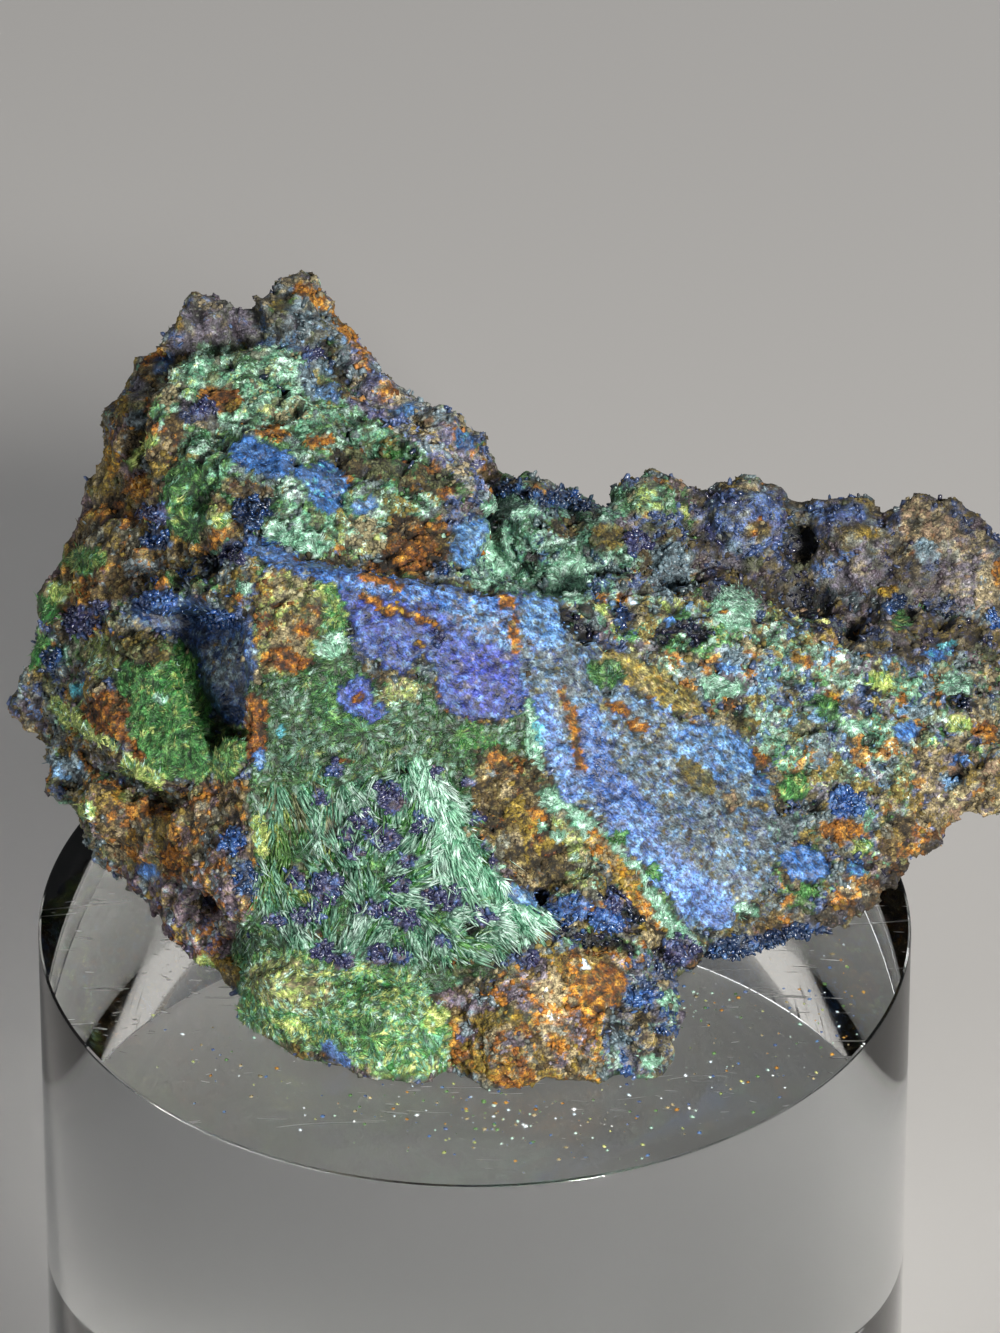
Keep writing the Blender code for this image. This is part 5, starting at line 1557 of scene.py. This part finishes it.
def acrylic_material(name, tint, scratched):
    """Clear cast acrylic with a faint haze, and with or without scratches."""
    # Cast acrylic, turned and polished: clear, bending the view behind it and mirroring the
    # lights, with the softest haze. Real scratches are 0.01 mm wide, and are drawn at about
    # 0.1 mm to show: they dull the surface and catch the light.
    made, tree = new_material(name)
    place = add_node(tree, "ShaderNodeTexCoord").outputs["Object"]
    haze = add_node(
        tree, "ShaderNodeTexNoise", {"Vector": place, "Scale": HAZE_SCALE, "Detail": 2.0}
    )
    polish = add_node(
        tree,
        "ShaderNodeMapRange",
        {
            "Value": haze.outputs["Fac"],
            "From Min": 0.5, "From Max": 0.8,
            "To Min": 0.02, "To Max": 0.07,
        },
    )
    inputs = {
        "Base Color": (*tint, 1),
        "Roughness": polish.outputs["Result"],
        "IOR": 1.49,
        "Transmission Weight": 1.0,
    }
    if scratched:
        scratches = scratches_on(tree, place)
        inputs["Roughness"] = add_node(
            tree,
            "ShaderNodeMath",
            {0: scratches, 1: 0.3, 2: polish.outputs["Result"]},
            operation="MULTIPLY_ADD",
        ).outputs["Value"]
        inputs["Normal"] = add_node(
            tree, "ShaderNodeBump", {"Height": scratches, "Strength": 0.35, "Distance": 0.02 * MM}
        ).outputs["Normal"]
    surface = add_node(tree, "ShaderNodeBsdfPrincipled", inputs)
    add_node(tree, "ShaderNodeOutputMaterial", {"Surface": surface.outputs["BSDF"]})
    return made


def make_stand(tint, rim):
    """The clear cylinder with its rims just broken, and fine scratches on its top."""
    stand = bpy.data.objects.new("acrylic", bpy.data.meshes.new("acrylic"))
    bpy.context.scene.collection.objects.link(stand)
    shape = bmesh.new()
    bmesh.ops.create_cone(
        shape,
        cap_ends=True,
        segments=256,
        radius1=STAND_RADIUS,
        radius2=STAND_RADIUS,
        depth=STAND_HEIGHT,
    )
    bmesh.ops.translate(shape, verts=shape.verts, vec=(0, 0, STAND_HEIGHT / 2))
    rims = [e for e in shape.edges if abs(e.verts[0].co.z - e.verts[1].co.z) < 1e-6]
    bmesh.ops.bevel(shape, geom=rims, offset=rim, segments=2, affect="EDGES", profile=0.5)
    for face in shape.faces:
        face.smooth = len(face.verts) == 4 and abs(face.normal.z) < 0.9
        face.material_index = int(face.normal.z > 0.99)
    shape.to_mesh(stand.data)
    shape.free()
    stand.data.materials.append(acrylic_material("clear_cast_acrylic", tint, False))
    stand.data.materials.append(acrylic_material("scratched_cast_acrylic", tint, True))
    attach(stand, "root")
    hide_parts("acrylic_cylinder")
    return stand


def area_light(name, place, aim, width, height, power, colour):
    """A rectangular light that faces a point."""
    light = bpy.data.lights.new(name, "AREA")
    light.shape = "RECTANGLE"
    light.size = width
    light.size_y = height
    light.energy = power
    light.color = colour
    made = bpy.data.objects.new(name, light)
    bpy.context.scene.collection.objects.link(made)
    made.location = place
    turn = Vector(aim) - Vector(place)
    made.rotation_euler = turn.to_track_quat("-Z", "Y").to_euler()
    return made


def make_stage(key_strength, floor_colour):
    """Pale floor, soft light from all round, a low key light from the right, and the camera."""
    scene = bpy.context.scene
    scene.view_settings.view_transform = "Standard"
    bpy.ops.mesh.primitive_plane_add(size=6.0, location=(0, 0, -0.0002))
    floor = bpy.context.object
    floor.name = "floor"
    # Pale backdrop paper: even and matt
    made, tree = new_material("pale_paper_floor")
    surface = add_node(
        tree,
        "ShaderNodeBsdfPrincipled",
        {"Base Color": (*floor_colour, 1), "Roughness": 0.9},
    )
    add_node(tree, "ShaderNodeOutputMaterial", {"Surface": surface.outputs["BSDF"]})
    floor.data.materials.append(made)

    world = bpy.data.worlds.new("soft_room")
    world.use_nodes = True
    world.node_tree.nodes["Background"].inputs["Color"].default_value = (0.92, 0.96, 1.0, 1)
    world.node_tree.nodes["Background"].inputs["Strength"].default_value = 0.1
    scene.world = world

    middle = (0, 0, 0.075)
    area_light("key", (0.26, -0.49, 0.38), middle, 0.09, 0.09, key_strength, (1.0, 0.97, 0.92))
    area_light("fill", (-0.45, -0.4, 0.3), middle, 0.3, 0.3, 0.22 * key_strength, (1.0, 1.0, 1.0))
    area_light("rim", (0.25, 0.5, 0.45), middle, 0.2, 0.2, 0.14 * key_strength, (1.0, 1.0, 1.0))

    camera = bpy.data.cameras.new("photo_view")
    camera.sensor_fit = "AUTO"
    camera.sensor_width = SENSOR_WIDTH
    camera.lens = FOCAL_PIXELS * SENSOR_WIDTH / max(PHOTO_SIZE)
    camera.clip_start = 0.05
    camera.clip_end = 20.0
    camera_object = bpy.data.objects.new("photo_view", camera)
    camera_object.location = CAMERA_POINT
    camera_object.rotation_euler = (math.pi / 2 - VIEW_ELEVATION, 0, 0)
    scene.collection.objects.link(camera_object)
    scene.camera = camera_object


class AzuriteStageSettings(bpy.types.PropertyGroup):
    """Settings of the floor and the lights."""

    key_strength: bpy.props.FloatProperty(
        name="Key strength",
        description="Power of the key light, which the other lights follow",
        default=5.8,
        min=0.0,
        unit="POWER",
    )
    floor_colour: bpy.props.FloatVectorProperty(
        name="Floor",
        description="Colour of the paper floor",
        default=srgb("#c4c2c0"),
        min=0.0,
        max=1.0,
        subtype="COLOR",
    )


class AzuriteStandSettings(bpy.types.PropertyGroup):
    """Settings of the clear cylinder."""

    tint: bpy.props.FloatVectorProperty(
        name="Tint",
        description="Colour of the clear acrylic",
        default=srgb("#fafcfc"),
        min=0.0,
        max=1.0,
        subtype="COLOR",
    )
    rim: bpy.props.FloatProperty(
        name="Rim",
        description="Width of the broken edge round the top and the foot",
        default=0.25 * MM,
        min=0.05 * MM,
        unit="LENGTH",
        precision=5,
    )


class AzuriteStoneSettings(bpy.types.PropertyGroup):
    """Settings of the stone's surface."""

    front_pitch: bpy.props.FloatProperty(
        name="Front pitch",
        description="Spacing of the surface's points where it faces the camera",
        default=0.26 * MM,
        min=0.2 * MM,
        unit="LENGTH",
        precision=5,
    )
    back_pitch: bpy.props.FloatProperty(
        name="Back pitch",
        description="Spacing of the surface's points behind",
        default=0.42 * MM,
        min=0.2 * MM,
        unit="LENGTH",
        precision=5,
    )
    crystal_length: bpy.props.FloatProperty(
        name="Crystal length",
        description="Length of the longest azurite crystals",
        default=0.85 * MM,
        min=0.35 * MM,
        unit="LENGTH",
        precision=5,
    )
    fibre_length: bpy.props.FloatProperty(
        name="Fibre length",
        description="Length of the longest malachite fibres before their bundles vary it",
        default=1.9 * MM,
        min=0.7 * MM,
        unit="LENGTH",
        precision=5,
    )


class AZURITE_OT_stage(bpy.types.Operator):
    """Make the floor, the lights and the camera."""

    bl_idname = "azurite.stage"
    bl_label = "Make the stage"

    def execute(self, context):
        settings = context.scene.azurite_stage
        make_stage(settings.key_strength, settings.floor_colour)
        return {"FINISHED"}


class AZURITE_OT_stand(bpy.types.Operator):
    """Make the clear cylinder."""

    bl_idname = "azurite.stand"
    bl_label = "Make the stand"

    def execute(self, context):
        settings = context.scene.azurite_stand
        make_stand(settings.tint, settings.rim)
        return {"FINISHED"}


class AZURITE_OT_rock(bpy.types.Operator):
    """Make the surface of the stone."""

    bl_idname = "azurite.rock"
    bl_label = "Make the stone"

    def execute(self, context):
        settings = context.scene.azurite_stone
        make_rock(settings.front_pitch / MM, settings.back_pitch / MM)
        return {"FINISHED"}


class AZURITE_OT_crystals(bpy.types.Operator):
    """Grow the azurite crystals on the stone."""

    bl_idname = "azurite.crystals"
    bl_label = "Grow the azurite"

    def execute(self, context):
        make_crystals(context.scene.azurite_stone.crystal_length / MM)
        return {"FINISHED"}


class AZURITE_OT_fibres(bpy.types.Operator):
    """Grow the malachite fibres on the stone."""

    bl_idname = "azurite.fibres"
    bl_label = "Grow the malachite"

    def execute(self, context):
        make_fibres(context.scene.azurite_stone.fibre_length / MM)
        return {"FINISHED"}


class AZURITE_OT_grains(bpy.types.Operator):
    """Make the earthy grains of the crusts."""

    bl_idname = "azurite.grains"
    bl_label = "Make the crust grains"

    def execute(self, context):
        make_grains()
        return {"FINISHED"}


class AZURITE_OT_crumbs(bpy.types.Operator):
    """Lay the loose crumbs on the stand."""

    bl_idname = "azurite.crumbs"
    bl_label = "Lay the crumbs"

    def execute(self, context):
        make_crumbs()
        return {"FINISHED"}


STEPS = (
    AZURITE_OT_stage,
    AZURITE_OT_stand,
    AZURITE_OT_rock,
    AZURITE_OT_crystals,
    AZURITE_OT_fibres,
    AZURITE_OT_grains,
    AZURITE_OT_crumbs,
)


SETTINGS = {
    "azurite_stage": AzuriteStageSettings,
    "azurite_stand": AzuriteStandSettings,
    "azurite_stone": AzuriteStoneSettings,
}


class AZURITE_PT_panel(bpy.types.Panel):
    """The steps in the sidebar of the 3D view."""

    bl_idname = "AZURITE_PT_panel"
    bl_label = "Azurite specimen"
    bl_space_type = "VIEW_3D"
    bl_region_type = "UI"
    bl_category = "Azurite"

    def draw(self, context):
        for name, settings in SETTINGS.items():
            for setting in settings.__annotations__:
                self.layout.prop(getattr(context.scene, name), setting)
        for step in STEPS:
            self.layout.operator(step.bl_idname)


CLASSES = (*SETTINGS.values(), *STEPS, AZURITE_PT_panel)


def register():
    """Adds the classes and the settings."""
    for item in CLASSES:
        bpy.utils.register_class(item)
    for name, settings in SETTINGS.items():
        setattr(bpy.types.Scene, name, bpy.props.PointerProperty(type=settings))


def unregister():
    """Takes the classes and the settings away."""
    for name in SETTINGS:
        delattr(bpy.types.Scene, name)
    for item in reversed(CLASSES):
        bpy.utils.unregister_class(item)


def main():
    """Makes everything in order."""
    register()
    bpy.ops.azurite.stage()
    bpy.ops.azurite.stand()
    bpy.ops.azurite.rock()
    bpy.ops.azurite.crystals()
    bpy.ops.azurite.fibres()
    bpy.ops.azurite.grains()
    bpy.ops.azurite.crumbs()


if __name__ == "__main__":
    main()
